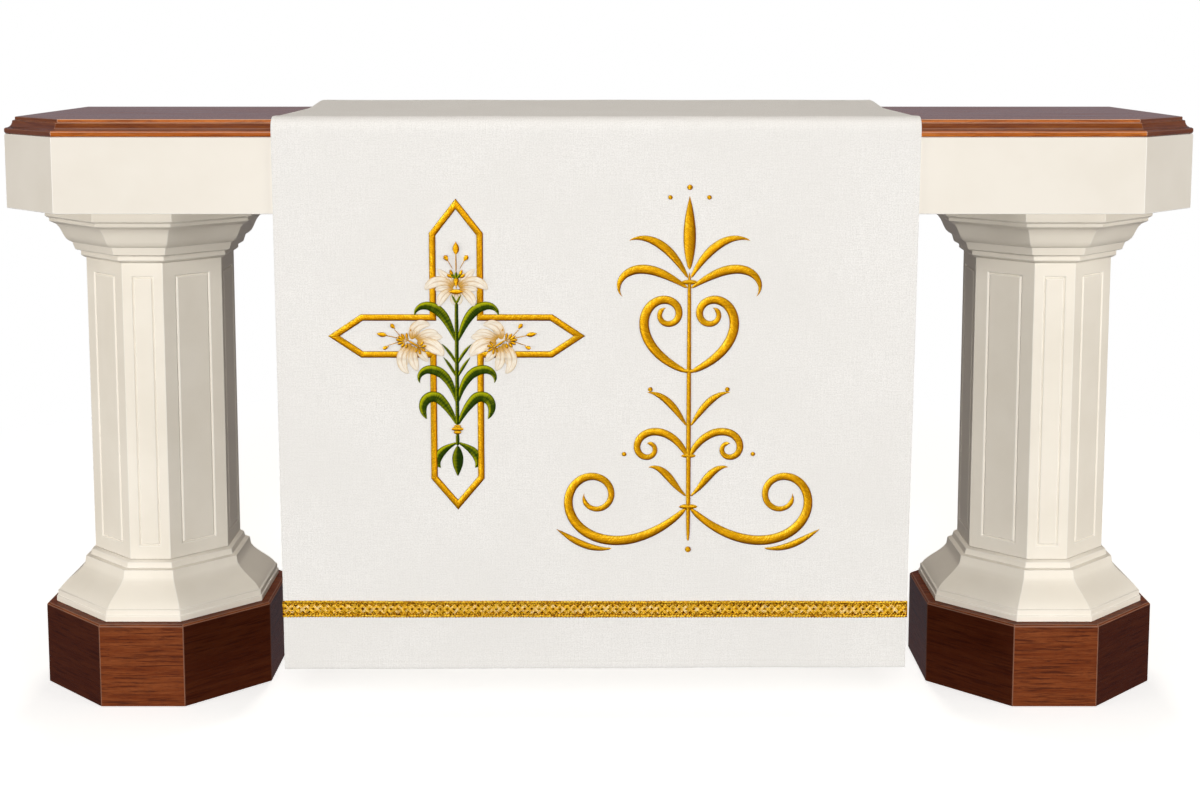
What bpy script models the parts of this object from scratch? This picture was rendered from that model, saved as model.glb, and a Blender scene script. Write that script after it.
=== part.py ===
"""A church parament: a white cloth laid over an altar table and hanging down its front.

Metres. X runs along the altar, +Y away from the viewer, +Z up.
The origin is on the floor, under the middle of the altar.
"""
import math

import bmesh
import bpy

# The altar table
ALTAR_HEIGHT = 0.990
TOP_HALF_LENGTH = 0.978
TOP_HALF_DEPTH = 0.282
CORNER_CUT = 0.1083
TOP_THICKNESS = 0.027
APRON_BOTTOM = 0.8395
PILLAR_X = 0.767
PLINTH_HEIGHT = 0.142
BASE_TOP = 0.232
PILLAR_TOP = 0.7432
FIT_GAP = 0.0003

# Eight-sided sections: half the width, and half the length of the front flat.
# Each is deeper than it is wide, and its side flats are longer by as much.
EXTRA_HALF_DEPTH = 0.020
PLINTH_OCTAGON = (0.1945, 0.0707)
BASE_OCTAGON = (0.1793, 0.0630)
PILLAR_OCTAGON = (0.1163, 0.0342)
CAPITAL_OCTAGON = (0.1760, 0.0655)

# The moulded edge of the wooden top: inset from the lip and drop below the top surface
TOP_INSET = 0.0170
TOP_ROUND = 0.0006
FILLET_DROP = 0.0050
COVE_INSET = 0.0124
COVE_START = 0.0062
COVE_END = 0.0178
COVE_REACH = 0.0097
COVE_STEPS = 5
LIP_START = 0.0198
LIP_END = 0.0243
LIP_ROUND = 0.0009

# The apron's lower and upper edges
APRON_ARRIS = 0.0010
APRON_BEAD = 0.0030

PLINTH_BEVEL = 0.0030

# The grooved panel on each face of a pillar
PANEL_FLAT_MARGIN = 0.0155
PANEL_DIAGONAL_MARGIN = 0.0240
PANEL_END_MARGIN = 0.0225
GROOVE_WIDTH = 0.0048
GROOVE_DEPTH = 0.0028

# The cloth, measured on its show face; each START and REACH is a share of the way
# from the cloth's middle to its fold or its side
CLOTH_THICKNESS = 0.0020
HEM_THICKNESS = 0.0030
EDGE_CLEARANCE = 0.0020
CLOTH_HALF_WIDTH_TOP = 0.5153
CLOTH_HALF_WIDTH_HEM = 0.5078
CLOTH_CENTRE_TOP = -0.0041
CLOTH_CENTRE_HEM = -0.0064
CLOTH_BOTTOM = 0.0912
CLOTH_BOTTOM_RISE = 0.0038
CLOTH_BACK_END = 0.8600
FOLD_RADIUS = 0.0200
FRONT_LIFT = 0.0017
FRONT_LIFT_START = 0.75
BACK_LIFT = 0.0090
BACK_LIFT_START = 0.30
RIPPLE = 0.0026
LYING_RIPPLE = 0.0005
LYING_RIPPLE_REACH = 0.97
HEM_DEPTH = 0.0140
SIDE_HEM = 0.0090
HEM_STEP = 0.0020

# Long waves of the cloth: share of the depth, wavelength across, phase
HANGING_WAVES = (
    (0.30, 0.37, 0.6),
    (0.20, 0.61, 2.4),
)
LYING_WAVE_ACROSS = 0.29
LYING_WAVE_ALONG = 0.23

# Into how many steps each stretch of the cloth is divided
BELOW_BRAID_STEPS = 2
FRONT_STEPS = 19
FOLD_STEPS = 7
LYING_STEPS = 13
BACK_STEPS = 3
ACROSS_STEPS = 24

# The braid sewn across the cloth
BRAID_LOW = 0.1790
BRAID_HIGH = 0.2075
BRAID_FIELD = 0.0010
BRAID_CORD = 0.0020
BRAID_CORD_WIDTH = 0.0038
BRAID_OVERHANG = 0.0010

# Half of the cord's round: share of its width in from the edge, share of its height
BRAID_CORD_ROUND = (
    (0.0, 0.0), (0.0, 0.5), (0.3, 1.0), (0.7, 1.0),
)

# The band that draws the cross, round its own centre on the cloth
CROSS_X = -0.2276
CROSS_Z = 0.6440
CROSS_UPRIGHT_HALF = 0.0432
CROSS_ARM_HALF = 0.0353
CROSS_TOP_SHOULDER = 0.1659
CROSS_TOP_POINT = 0.2212
CROSS_FOOT_SHOULDER = 0.2336
CROSS_FOOT_POINT = 0.2850
CROSS_SIDE_SHOULDER = 0.1533
CROSS_SIDE_POINT = 0.2064
BAND_WIDTH = 0.0107
BAND_EDGE = 0.0008
BAND_CROWN = 0.0008
BAND_SHOULDER = 0.0030
STITCH_GAP = 0.0004

# Capital, from the pillar up: share of the way from pillar to capital, height above the pillar
CAPITAL_PROFILE = (
    (0.03, 0.0000), (0.13, 0.0045), (0.13, 0.0120), (0.27, 0.0145), (0.29, 0.0180), (0.34, 0.0275),
    (0.42, 0.0300), (0.50, 0.0345), (0.55, 0.0400), (0.60, 0.0470), (0.65, 0.0535), (0.73, 0.0600),
    (0.82, 0.0630), (0.90, 0.0655), (0.90, 0.0710), (0.95, 0.0725), (1.00, 0.0745),
)

# Base moulding, from the plinth up: share of the way from pillar to base, height above the plinth
BASE_FOOT = (
    (1.00, 0.0000), (1.00, 0.0095), (0.965, 0.0105), (0.965, 0.0190), (0.92, 0.0205),
)
BASE_OGEE_LOW = (0.92, 0.0205)
BASE_OGEE_HIGH = (0.28, 0.0625)
BASE_OGEE_STEPS = 7
BASE_NECK = (
    (0.25, 0.0750), (0.13, 0.0770), (0.10, 0.0860),
)
BASE_TOP_SHARE = 0.02

# Faces that turn by less than this are shaded as one smooth surface
SMOOTH_ANGLE = 40.0


def clear_scene():
    for item in list(bpy.data.objects):
        bpy.data.objects.remove(item, do_unlink=True)


def make_material(name, colour, roughness, metallic=0.0):
    material = bpy.data.materials.new(name)
    material.use_nodes = True
    shader = material.node_tree.nodes["Principled BSDF"]
    shader.inputs["Base Color"].default_value = (*colour, 1.0)
    shader.inputs["Roughness"].default_value = roughness
    shader.inputs["Metallic"].default_value = metallic
    material.diffuse_color = (*colour, 1.0)
    return material


def make_object(name, bm, material, location=(0.0, 0.0, 0.0)):
    """Turn a finished bmesh into an object of its own."""
    mesh = bpy.data.meshes.new(name)
    bm.to_mesh(mesh)
    bm.free()
    mesh.materials.append(material)
    item = bpy.data.objects.new(name, mesh)
    item.location = location
    bpy.context.collection.objects.link(item)
    return item


def shade_round(item):
    item.data.shade_smooth()
    item.data.set_sharp_from_angle(angle=math.radians(SMOOTH_ANGLE))


def smooth_share(value):
    """0 to 1, easing in and out."""
    value = min(max(value, 0.0), 1.0)
    return value * value * (3.0 - 2.0 * value)


def mix(low, high, share):
    return low + (high - low) * share


def octagon(section):
    half, flat = section
    depth = half + EXTRA_HALF_DEPTH
    side = flat + EXTRA_HALF_DEPTH
    return [(-flat, -depth), (flat, -depth), (half, -side), (half, side),
            (flat, depth), (-flat, depth), (-half, side), (-half, -side)]


def octagon_between(inner, outer, share):
    return octagon([mix(a, b, share) for a, b in zip(inner, outer)])


def altar_outline(inset):
    """The altar seen from above: its two front corners are cut off, its back corners are square."""
    length = TOP_HALF_LENGTH - inset
    depth = TOP_HALF_DEPTH - inset
    cut = CORNER_CUT - inset * (2.0 - math.sqrt(2.0))
    return [(-length + cut, -depth), (length - cut, -depth), (length, -depth + cut),
            (length, depth), (-length, depth), (-length, -depth + cut)]


def stack(rings):
    """A closed solid through level rings of corners, listed from the bottom up."""
    bm = bmesh.new()
    loops = [[bm.verts.new((x, y, z)) for x, y in outline] for outline, z in rings]
    for low, high in zip(loops, loops[1:]):
        for i in range(len(low)):
            j = (i + 1) % len(low)
            bm.faces.new((low[i], low[j], high[j], high[i]))
    bm.faces.new(list(reversed(loops[0])))
    bm.faces.new(loops[-1])
    bm.normal_update()
    return bm


def make_altar_top(wood):
    """A board with a fillet, a cove and a rounded lip worked on its edge."""
    steps = [(TOP_INSET, 0.0),
             (TOP_INSET - TOP_ROUND, TOP_ROUND),
             (TOP_INSET - TOP_ROUND, FILLET_DROP),
             (COVE_INSET, COVE_START)]
    for step in range(1, COVE_STEPS + 1):
        turn = math.pi / 2 * step / COVE_STEPS
        inset = COVE_INSET - COVE_REACH * (1.0 - math.cos(turn))
        steps.append((inset, mix(COVE_START, COVE_END, math.sin(turn))))
    steps += [(LIP_ROUND, COVE_END + LIP_ROUND),
              (0.0, LIP_START),
              (0.0, LIP_END),
              (LIP_ROUND, TOP_THICKNESS - LIP_ROUND),
              (2.0 * LIP_ROUND, TOP_THICKNESS)]
    rings = [(altar_outline(inset), ALTAR_HEIGHT - drop) for inset, drop in reversed(steps)]
    return make_object("altar_top", stack(rings), wood)


def make_apron(paint):
    """The painted box under the top, its upper edge rounded."""
    top = ALTAR_HEIGHT - TOP_THICKNESS - FIT_GAP
    halfway = APRON_BEAD * (1.0 - math.cos(math.pi / 4.0))
    rings = [(altar_outline(APRON_ARRIS), APRON_BOTTOM),
             (altar_outline(0.0), APRON_BOTTOM + APRON_ARRIS),
             (altar_outline(0.0), top - APRON_BEAD),
             (altar_outline(halfway), top - halfway),
             (altar_outline(APRON_BEAD), top)]
    return make_object("altar_apron", stack(rings), paint)


def make_plinth(name, wood, x):
    half, flat = PLINTH_OCTAGON
    shrunk = (half - PLINTH_BEVEL, flat - PLINTH_BEVEL * math.tan(math.pi / 8.0))
    rings = [(octagon(PLINTH_OCTAGON), 0.0),
             (octagon(PLINTH_OCTAGON), PLINTH_HEIGHT - PLINTH_BEVEL),
             (octagon(shrunk), PLINTH_HEIGHT)]
    return make_object(name, stack(rings), wood, (x, 0.0, 0.0))


def make_base_moulding(name, paint, x):
    profile = list(BASE_FOOT)
    low_share, low = BASE_OGEE_LOW
    high_share, high = BASE_OGEE_HIGH
    for step in range(1, BASE_OGEE_STEPS + 1):
        up = step / BASE_OGEE_STEPS
        lean = (up + smooth_share(up)) / 2.0
        profile.append((mix(low_share, high_share, lean), mix(low, high, up)))
    profile += BASE_NECK
    profile.append((BASE_TOP_SHARE, BASE_TOP - PLINTH_HEIGHT - FIT_GAP))
    bottom = PLINTH_HEIGHT + FIT_GAP
    rings = [(octagon_between(PILLAR_OCTAGON, BASE_OCTAGON, share), bottom + height)
             for share, height in profile]
    return make_object(name, stack(rings), paint, (x, 0.0, 0.0))


def make_capital(name, paint, x):
    bottom = PILLAR_TOP + FIT_GAP
    rings = [(octagon_between(PILLAR_OCTAGON, CAPITAL_OCTAGON, share), bottom + height)
             for share, height in CAPITAL_PROFILE]
    rings.append((octagon(CAPITAL_OCTAGON), APRON_BOTTOM - FIT_GAP))
    return make_object(name, stack(rings), paint, (x, 0.0, 0.0))


def cut_panel(bm, face):
    """Cut a V groove round a panel on one face of a pillar."""
    diagonal = min(abs(face.normal.x), abs(face.normal.y)) > 0.5
    margin = PANEL_DIAGONAL_MARGIN if diagonal else PANEL_FLAT_MARGIN
    bmesh.ops.inset_individual(bm, faces=[face], thickness=margin, use_even_offset=True)
    middle = face.calc_center_median().z
    extra = PANEL_END_MARGIN - margin
    for vert in face.verts:
        vert.co.z += extra if vert.co.z < middle else -extra
    for depth in (-GROOVE_DEPTH, GROOVE_DEPTH):
        bmesh.ops.inset_individual(bm, faces=[face], thickness=GROOVE_WIDTH / 2.0, depth=depth,
                                   use_even_offset=True)


def make_pillar(name, paint, x):
    bottom = BASE_TOP + FIT_GAP
    bm = stack([(octagon(PILLAR_OCTAGON), bottom), (octagon(PILLAR_OCTAGON), PILLAR_TOP)])
    for face in [f for f in bm.faces if abs(f.normal.z) < 0.5]:
        cut_panel(bm, face)
    return make_object(name, bm, paint, (x, 0.0, 0.0))


def front_face_y():
    """Where the cloth hangs: its thickest hem still clears the altar's lip."""
    return -(TOP_HALF_DEPTH + EDGE_CLEARANCE + HEM_THICKNESS)


def lying_height(y):
    """The show face on the altar's top, eased up towards both folds."""
    straight = -front_face_y() - FOLD_RADIUS
    front = smooth_share((-y / straight - FRONT_LIFT_START) / (1.0 - FRONT_LIFT_START))
    back = smooth_share((y / straight - BACK_LIFT_START) / (1.0 - BACK_LIFT_START))
    return ALTAR_HEIGHT + FIT_GAP + HEM_THICKNESS + FRONT_LIFT * front + BACK_LIFT * back


def ripple(x, down):
    """How far the hanging cloth bellies forward; down is 0 at the fold and 1 at the hem."""
    wave = 0.5
    for share, length, phase in HANGING_WAVES:
        wave += share * math.sin(math.tau * x / length + phase)
    return RIPPLE * down * down * wave


def fold_start():
    return lying_height(front_face_y() + FOLD_RADIUS) - FOLD_RADIUS


def spaced(low, high, steps):
    """Even steps after low, up to and with high."""
    return [mix(low, high, (i + 1) / steps) for i in range(steps)]


def cloth_rows():
    """The show line of the cloth, from its front hem up, over the altar and down behind.

    Each row is y, z, and how far down the front it hangs from 0 to 1.
    """
    face = front_face_y()
    start = fold_start()
    heights = [CLOTH_BOTTOM, CLOTH_BOTTOM + HEM_DEPTH, CLOTH_BOTTOM + HEM_DEPTH + HEM_STEP]
    heights += spaced(heights[-1], BRAID_LOW, BELOW_BRAID_STEPS)
    heights += [BRAID_HIGH]
    heights += spaced(BRAID_HIGH, start, FRONT_STEPS)
    rows = [(face, z, (start - z) / (start - CLOTH_BOTTOM)) for z in heights]

    centre = face + FOLD_RADIUS
    for angle in spaced(0.0, math.pi / 2.0, FOLD_STEPS):
        rows.append((centre - FOLD_RADIUS * math.cos(angle), start + FOLD_RADIUS * math.sin(angle), 0.0))
    for y in spaced(centre, -centre, LYING_STEPS):
        rows.append((y, lying_height(y), 0.0))

    back_centre = lying_height(-centre) - FOLD_RADIUS
    for angle in spaced(0.0, math.pi / 2.0, FOLD_STEPS):
        y = -centre + FOLD_RADIUS * math.sin(angle)
        rows.append((y, back_centre + FOLD_RADIUS * math.cos(angle), 0.0))
    hem = CLOTH_BACK_END + HEM_DEPTH
    for z in spaced(back_centre, hem + HEM_STEP, BACK_STEPS) + [hem, CLOTH_BACK_END]:
        rows.append((-face, z, 0.0))
    return rows


def cloth_columns():
    """Shares across the cloth from -1 to 1, with a column at each side of both side hems."""
    hem = SIDE_HEM / CLOTH_HALF_WIDTH_TOP
    step = HEM_STEP / CLOTH_HALF_WIDTH_TOP
    inner = 1.0 - hem - step
    middle = spaced(-inner, inner, ACROSS_STEPS)
    return [-1.0, -1.0 + hem, -inner] + middle + [1.0 - hem, 1.0]


def cloth_x(across, down):
    half = mix(CLOTH_HALF_WIDTH_TOP, CLOTH_HALF_WIDTH_HEM, down)
    return mix(CLOTH_CENTRE_TOP, CLOTH_CENTRE_HEM, down) + half * across


def cloth_point(across, row):
    """A point of the show face, the front bellied and the bottom hem a little out of level."""
    y, z, down = row
    x = cloth_x(across, down)
    if z < BRAID_LOW:
        low = (BRAID_LOW - z) / (BRAID_LOW - CLOTH_BOTTOM)
        z += CLOTH_BOTTOM_RISE * low * (across + 1.0) / 2.0
    if abs(y) < -front_face_y() - FOLD_RADIUS and abs(across) < LYING_RIPPLE_REACH:
        wave = math.sin(math.tau * (x / LYING_WAVE_ACROSS + y / LYING_WAVE_ALONG))
        z += LYING_RIPPLE * (1.0 + wave) / 2.0
    return x, y - ripple(x, down), z


def is_hem(across, row, rows, columns):
    edge_columns = (columns[0], columns[1], columns[-2], columns[-1])
    edge_rows = (rows[0], rows[1], rows[-2], rows[-1])
    return across in edge_columns or row in edge_rows


def make_parament(linen):
    """One cloth: its hems are its own edge turned under, and a little thicker."""
    rows = cloth_rows()
    columns = cloth_columns()
    bm = bmesh.new()
    weights = bm.verts.layers.deform.verify()
    grid = []
    for row in rows:
        line = []
        for across in columns:
            vert = bm.verts.new(cloth_point(across, row))
            hem = is_hem(across, row, rows, columns)
            vert[weights][0] = 1.0 if hem else CLOTH_THICKNESS / HEM_THICKNESS
            line.append(vert)
        grid.append(line)
    for low, high in zip(grid, grid[1:]):
        for i in range(len(low) - 1):
            bm.faces.new((low[i], low[i + 1], high[i + 1], high[i]))
    cloth = make_object("parament", bm, linen)
    cloth.vertex_groups.new(name="hems")
    solidify = cloth.modifiers.new("Thickness", "SOLIDIFY")
    solidify.thickness = HEM_THICKNESS
    solidify.offset = -1.0
    solidify.use_even_offset = True
    solidify.vertex_group = "hems"
    shade_round(cloth)
    return cloth


def hanging_y(x, z):
    """The show face of the front drop at any place on it."""
    start = fold_start()
    return front_face_y() - ripple(x, (start - z) / (start - CLOTH_BOTTOM))


def make_braid(gold):
    """A flat woven strip with a round cord along both edges, following the cloth."""
    half = (BRAID_HIGH - BRAID_LOW) / 2.0
    upper = [(half - BRAID_CORD_WIDTH * inward, BRAID_CORD * out) for inward, out in BRAID_CORD_ROUND]
    upper.append((half - BRAID_CORD_WIDTH, BRAID_FIELD))
    section = upper + [(-up, out) for up, out in reversed(upper)]
    middle = (BRAID_LOW + BRAID_HIGH) / 2.0
    start = fold_start()
    down = (start - middle) / (start - CLOTH_BOTTOM)
    columns = [cloth_x(across, down) for across in cloth_columns()]
    columns[0] -= BRAID_OVERHANG
    columns[-1] += BRAID_OVERHANG

    bm = bmesh.new()
    loops = []
    for x in columns:
        ring = []
        for up, out in section:
            z = middle + up
            ring.append(bm.verts.new((x, hanging_y(x, z) - FIT_GAP - out, z)))
        loops.append(ring)
    for near, far in zip(loops, loops[1:]):
        for i in range(len(section)):
            j = (i + 1) % len(section)
            bm.faces.new((near[i], near[j], far[j], far[i]))
    bm.faces.new(list(reversed(loops[0])))
    bm.faces.new(loops[-1])
    bmesh.ops.recalc_face_normals(bm, faces=bm.faces)
    braid = make_object("gold_braid", bm, gold)
    shade_round(braid)
    return braid


def cross_outline():
    """Sixteen corners of a cross with pointed ends, round its own centre."""
    up, arm = CROSS_UPRIGHT_HALF, CROSS_ARM_HALF
    right = [(0.0, CROSS_TOP_POINT), (up, CROSS_TOP_SHOULDER), (up, arm),
             (CROSS_SIDE_SHOULDER, arm), (CROSS_SIDE_POINT, 0.0), (CROSS_SIDE_SHOULDER, -arm),
             (up, -arm), (up, -CROSS_FOOT_SHOULDER), (0.0, -CROSS_FOOT_POINT)]
    left = [(-x, z) for x, z in reversed(right[1:-1])]
    return right + left


def split_on_cloth_grid(bm):
    """Give the band an edge wherever the cloth has one, so that it follows the same folds."""
    halfway_down = 0.5
    xs = [cloth_x(across, halfway_down) for across in cloth_columns()]
    zs = [row[1] for row in cloth_rows() if row[2] > 0.0]
    cuts = [((x, 0.0, 0.0), (1.0, 0.0, 0.0)) for x in xs]
    cuts += [((0.0, 0.0, z), (0.0, 0.0, 1.0)) for z in zs]
    for place, normal in cuts:
        parts = list(bm.verts) + list(bm.edges) + list(bm.faces)
        bmesh.ops.bisect_plane(bm, geom=parts, plane_co=place, plane_no=normal, dist=0.0001)


def make_cross_band(gold):
    """A padded band of satin stitch, raised from the cloth and crowned along its middle."""
    bm = bmesh.new()
    corners = [bm.verts.new((CROSS_X + x, 0.0, CROSS_Z + z)) for x, z in cross_outline()]
    middle = bm.faces.new(corners)
    bm.normal_update()
    if middle.normal.y > 0.0:
        middle.normal_flip()
    bmesh.ops.inset_individual(bm, faces=[middle], thickness=BAND_WIDTH, use_even_offset=True)
    bmesh.ops.delete(bm, geom=[middle], context="FACES")
    split_on_cloth_grid(bm)

    under = list(bm.faces)
    lifted = bmesh.ops.extrude_face_region(bm, geom=under, use_keep_orig=True)["geom"]
    top = [item for item in lifted if isinstance(item, bmesh.types.BMFace)]
    top_verts = [item for item in lifted if isinstance(item, bmesh.types.BMVert)]
    bmesh.ops.translate(bm, verts=top_verts, vec=(0.0, -BAND_EDGE, 0.0))
    bmesh.ops.recalc_face_normals(bm, faces=bm.faces)
    bmesh.ops.inset_region(bm, faces=top, thickness=BAND_SHOULDER, depth=BAND_CROWN,
                           use_even_offset=True)
    for vert in bm.verts:
        vert.co.y += hanging_y(vert.co.x, vert.co.z) - STITCH_GAP
    band = make_object("cross_band", bm, gold)
    shade_round(band)
    return band


def build():
    clear_scene()
    linen = make_material("white_linen", (0.86, 0.84, 0.80), 0.85)
    gold = make_material("gold_thread", (0.60, 0.36, 0.02), 0.38, 0.6)
    wood = make_material("stained_wood", (0.20, 0.055, 0.02), 0.32)
    paint = make_material("cream_paint", (0.86, 0.80, 0.70), 0.40)
    make_altar_top(wood)
    make_apron(paint)
    for side, x in (("left", -PILLAR_X), ("right", PILLAR_X)):
        make_capital("capital_" + side, paint, x)
        make_pillar("pillar_" + side, paint, x)
        make_base_moulding("base_moulding_" + side, paint, x)
        make_plinth("plinth_" + side, wood, x)
    make_parament(linen)
    make_braid(gold)
    make_cross_band(gold)


build()
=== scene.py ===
import math
from contextlib import contextmanager

import bpy
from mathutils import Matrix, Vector, noise


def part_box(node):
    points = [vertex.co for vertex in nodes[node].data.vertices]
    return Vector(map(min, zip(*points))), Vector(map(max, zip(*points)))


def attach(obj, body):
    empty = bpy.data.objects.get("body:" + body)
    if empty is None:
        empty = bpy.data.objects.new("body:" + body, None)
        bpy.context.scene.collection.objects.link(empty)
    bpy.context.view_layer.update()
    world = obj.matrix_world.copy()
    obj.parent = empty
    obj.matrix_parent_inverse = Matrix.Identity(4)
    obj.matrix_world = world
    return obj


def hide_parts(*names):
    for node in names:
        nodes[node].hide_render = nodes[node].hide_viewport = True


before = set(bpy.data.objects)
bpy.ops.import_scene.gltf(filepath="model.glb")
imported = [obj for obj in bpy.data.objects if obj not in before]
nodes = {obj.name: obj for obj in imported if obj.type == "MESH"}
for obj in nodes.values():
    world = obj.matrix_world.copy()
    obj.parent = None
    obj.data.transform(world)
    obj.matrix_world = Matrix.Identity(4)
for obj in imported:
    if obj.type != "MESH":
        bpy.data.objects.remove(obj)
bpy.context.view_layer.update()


# Plinths. Two eight-sided boxes of board stand on the floor and carry the table. The grain
# runs level round every face, the corners are mitred, and the top edge is chamfered. The
# wood is stained red brown and varnished, and every sharp corner is rubbed down by hand.
JOIN_WITHIN = 0.00002
FLAT_WITHIN = math.radians(0.5)
SHARPER_THAN = math.radians(28.0)
PLINTH_ARRIS = 0.0012
STANDING_FROM = 0.5
FACING_FROM = 0.75
PLINTH_LYING_FROM = 0.3
# Painted light and shade: the share of the painted light that the side faces get
SIDE_FACE_PAINTED_LIGHT = 0.3
# Painted shade: how far the faces left out of the painted light go to the dark colour
PAINTED_SHADE_SHARE = 0.78
# Painted highlight along the arrises: the share of it that stays on faces in painted shade
ARRIS_HIGHLIGHT_IN_SHADE = 0.2
GRAIN_DEPTH = 0.00012
NEARLY_NONE = 0.001
# The lighter wood colour of the painted highlight along the arrises
ARRIS_HIGHLIGHT_WOOD = (0.800, 0.560, 0.420, 1.0)


def pick(*pieces):
    """Select these pieces alone, with the first one active."""
    bpy.ops.object.select_all(action="DESELECT")
    for piece in pieces:
        piece.select_set(True)
    bpy.context.view_layer.objects.active = pieces[0]


@contextmanager
def editing():
    """Edit mode with the whole mesh selected, for the operators inside."""
    bpy.ops.object.mode_set(mode="EDIT")
    bpy.ops.mesh.select_all(action="SELECT")
    yield
    bpy.ops.object.mode_set(mode="OBJECT")


def work(piece, kind, **settings):
    """Apply one modifier to a piece."""
    pick(piece)
    modifier = piece.modifiers.new(kind, kind)
    for name, value in settings.items():
        setattr(modifier, name, value)
    bpy.ops.object.modifier_apply(modifier=kind)


def joiners_copy(node_name, piece_name):
    """A copy of a node of the table with its triangles joined into whole boards."""
    piece = bpy.data.objects.new(piece_name, nodes[node_name].data.copy())
    bpy.context.collection.objects.link(piece)
    piece.data.materials.clear()
    pick(piece)
    bpy.ops.mesh.customdata_custom_splitnormals_clear()
    with editing():
        bpy.ops.mesh.remove_doubles(threshold=JOIN_WITHIN)
        bpy.ops.mesh.dissolve_limited(angle_limit=FLAT_WITHIN)
    return piece


def rub_down(piece, width, steps=3):
    """Round every sharp corner a little, mark the rounded strips and keep the flats flat."""
    piece.data.materials.append(None)
    piece.data.materials.append(None)
    work(piece, "BEVEL", width=width, segments=steps, limit_method="ANGLE", angle_limit=SHARPER_THAN,
         material=1)
    piece.data.attributes.new("arris", "FLOAT", "FACE")
    for face in piece.data.polygons:
        piece.data.attributes["arris"].data[face.index].value = float(face.material_index)
        face.material_index = 0
    piece.data.materials.clear()
    bpy.ops.object.shade_smooth_by_angle(angle=SHARPER_THAN)
    work(piece, "WEIGHTED_NORMAL", keep_sharp=True)


class Shading:
    """Builds the nodes of one node tree. Its steps give back the socket with their result."""

    def __init__(self, tree):
        self.tree = tree

    def give(self, socket, value):
        """Link another node's value to a socket, or set a plain value there."""
        if isinstance(value, bpy.types.NodeSocket):
            self.tree.links.new(value, socket)
        else:
            socket.default_value = value

    def node(self, kind, inputs=None, **settings):
        node = self.tree.nodes.new("ShaderNode" + kind)
        for name, value in settings.items():
            setattr(node, name, value)
        for name, value in (inputs or {}).items():
            self.give(node.inputs[name], value)
        return node

    def reckon(self, operation, first, second=0.0):
        return self.node("Math", {0: first, 1: second}, operation=operation).outputs[0]

    def times(self, first, second):
        return self.reckon("MULTIPLY", first, second)

    def total(self, *parts):
        """The sum of values. A value can come with its weight, as a pair."""
        values = [self.times(*part) if isinstance(part, tuple) else part for part in parts]
        result = values[0]
        for value in values[1:]:
            result = self.reckon("ADD", result, value)
        return result

    def mix(self, share, low, high):
        """A colour between two others."""
        return self.node("Mix", {0: share, 6: low, 7: high}, data_type="RGBA").outputs[2]

    def stretch(self, value, low, high, to_low=0.0, to_high=1.0):
        """A value brought from one range to another, and held there."""
        return self.node("MapRange", {
            "Value": value, "From Min": low, "From Max": high, "To Min": to_low, "To Max": to_high,
        }).outputs["Result"]

    def speckle(self, place, scale, detail=4.0, roughness=0.55, distortion=0.0):
        return self.node("TexNoise", {
            "Vector": place, "Scale": scale, "Detail": detail, "Roughness": roughness,
            "Distortion": distortion,
        }).outputs["Fac"]

    def mark(self, name):
        """A value that the piece carries as its own attribute."""
        return self.node("Attribute", attribute_name=name).outputs["Fac"]

    def along_grain(self, stretched):
        """The place along, into and across the grain of a board, stretched each way."""
        grain = self.node("Attribute", attribute_name="grain").outputs["Vector"]
        return self.node("VectorMath", {0: grain, 1: stretched}, operation="MULTIPLY").outputs[0]


class Finish(Shading):
    """A material with its Principled shader, whose plain sockets are set by name."""

    def __init__(self, name, **sockets):
        self.material = bpy.data.materials.new(name)
        self.material.use_nodes = True
        super().__init__(self.material.node_tree)
        self.feed(**sockets)

    def feed(self, **sockets):
        for label, value in sockets.items():
            self.give(self.tree.nodes["Principled BSDF"].inputs[label.replace("_", " ")], value)

    def raise_by(self, height, distance):
        """Feed a height in shares of a distance to the shader's normal."""
        bump = self.node("Bump", {"Height": height, "Distance": distance, "Strength": 1.0})
        self.feed(Normal=bump.outputs["Normal"])


def shared_effect(name, inputs, outputs):
    """An empty node group, as its shading and the sockets at its start and its end."""
    group = bpy.data.node_groups.new(name, "ShaderNodeTree")
    for in_out, sockets in (("INPUT", inputs), ("OUTPUT", outputs)):
        for label, kind in sockets.items():
            group.interface.new_socket(name=label, in_out=in_out, socket_type="NodeSocket" + kind)
    start = group.nodes.new("NodeGroupInput").outputs
    return Shading(group), start, group.nodes.new("NodeGroupOutput").inputs


def make_wood_grain():
    """Streaks, fine figure and pores of a board whose grain runs along its own X and Y."""
    wood, given, result = shared_effect(
        "wood_grain",
        {"Place": "Vector", "Streak Colour": "Color", "Board Colour": "Color", "Light Colour": "Color"},
        {"Color": "Color", "Height": "Float", "Roughness": "Float"})
    streaks = wood.speckle(given["Place"], 15.0, 5.0, 0.62, 0.35)
    figure = wood.speckle(given["Place"], 36.0, 5.0, 0.6, 0.2)
    pores = wood.speckle(given["Place"], 80.0, 2.0, 0.5)
    broad = wood.speckle(given["Place"], 4.0, 2.0, 0.5, 0.6)
    light = wood.stretch(wood.total(figure, broad), 0.84, 1.22)
    colour = wood.mix(light, given["Board Colour"], given["Light Colour"])
    streak = wood.stretch(streaks, 0.50, 0.36, 0.0, 0.80)
    colour = wood.mix(streak, colour, given["Streak Colour"])
    pore = wood.stretch(pores, 0.42, 0.32)
    colour = wood.mix(wood.times(pore, 0.55), colour, given["Streak Colour"])
    wood.give(result["Color"], colour)
    wood.give(result["Height"], wood.reckon("SUBTRACT", figure, pore))
    wood.give(result["Roughness"], wood.stretch(figure, 0.3, 0.7, 0.30, 0.40))
    return wood.tree


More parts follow.
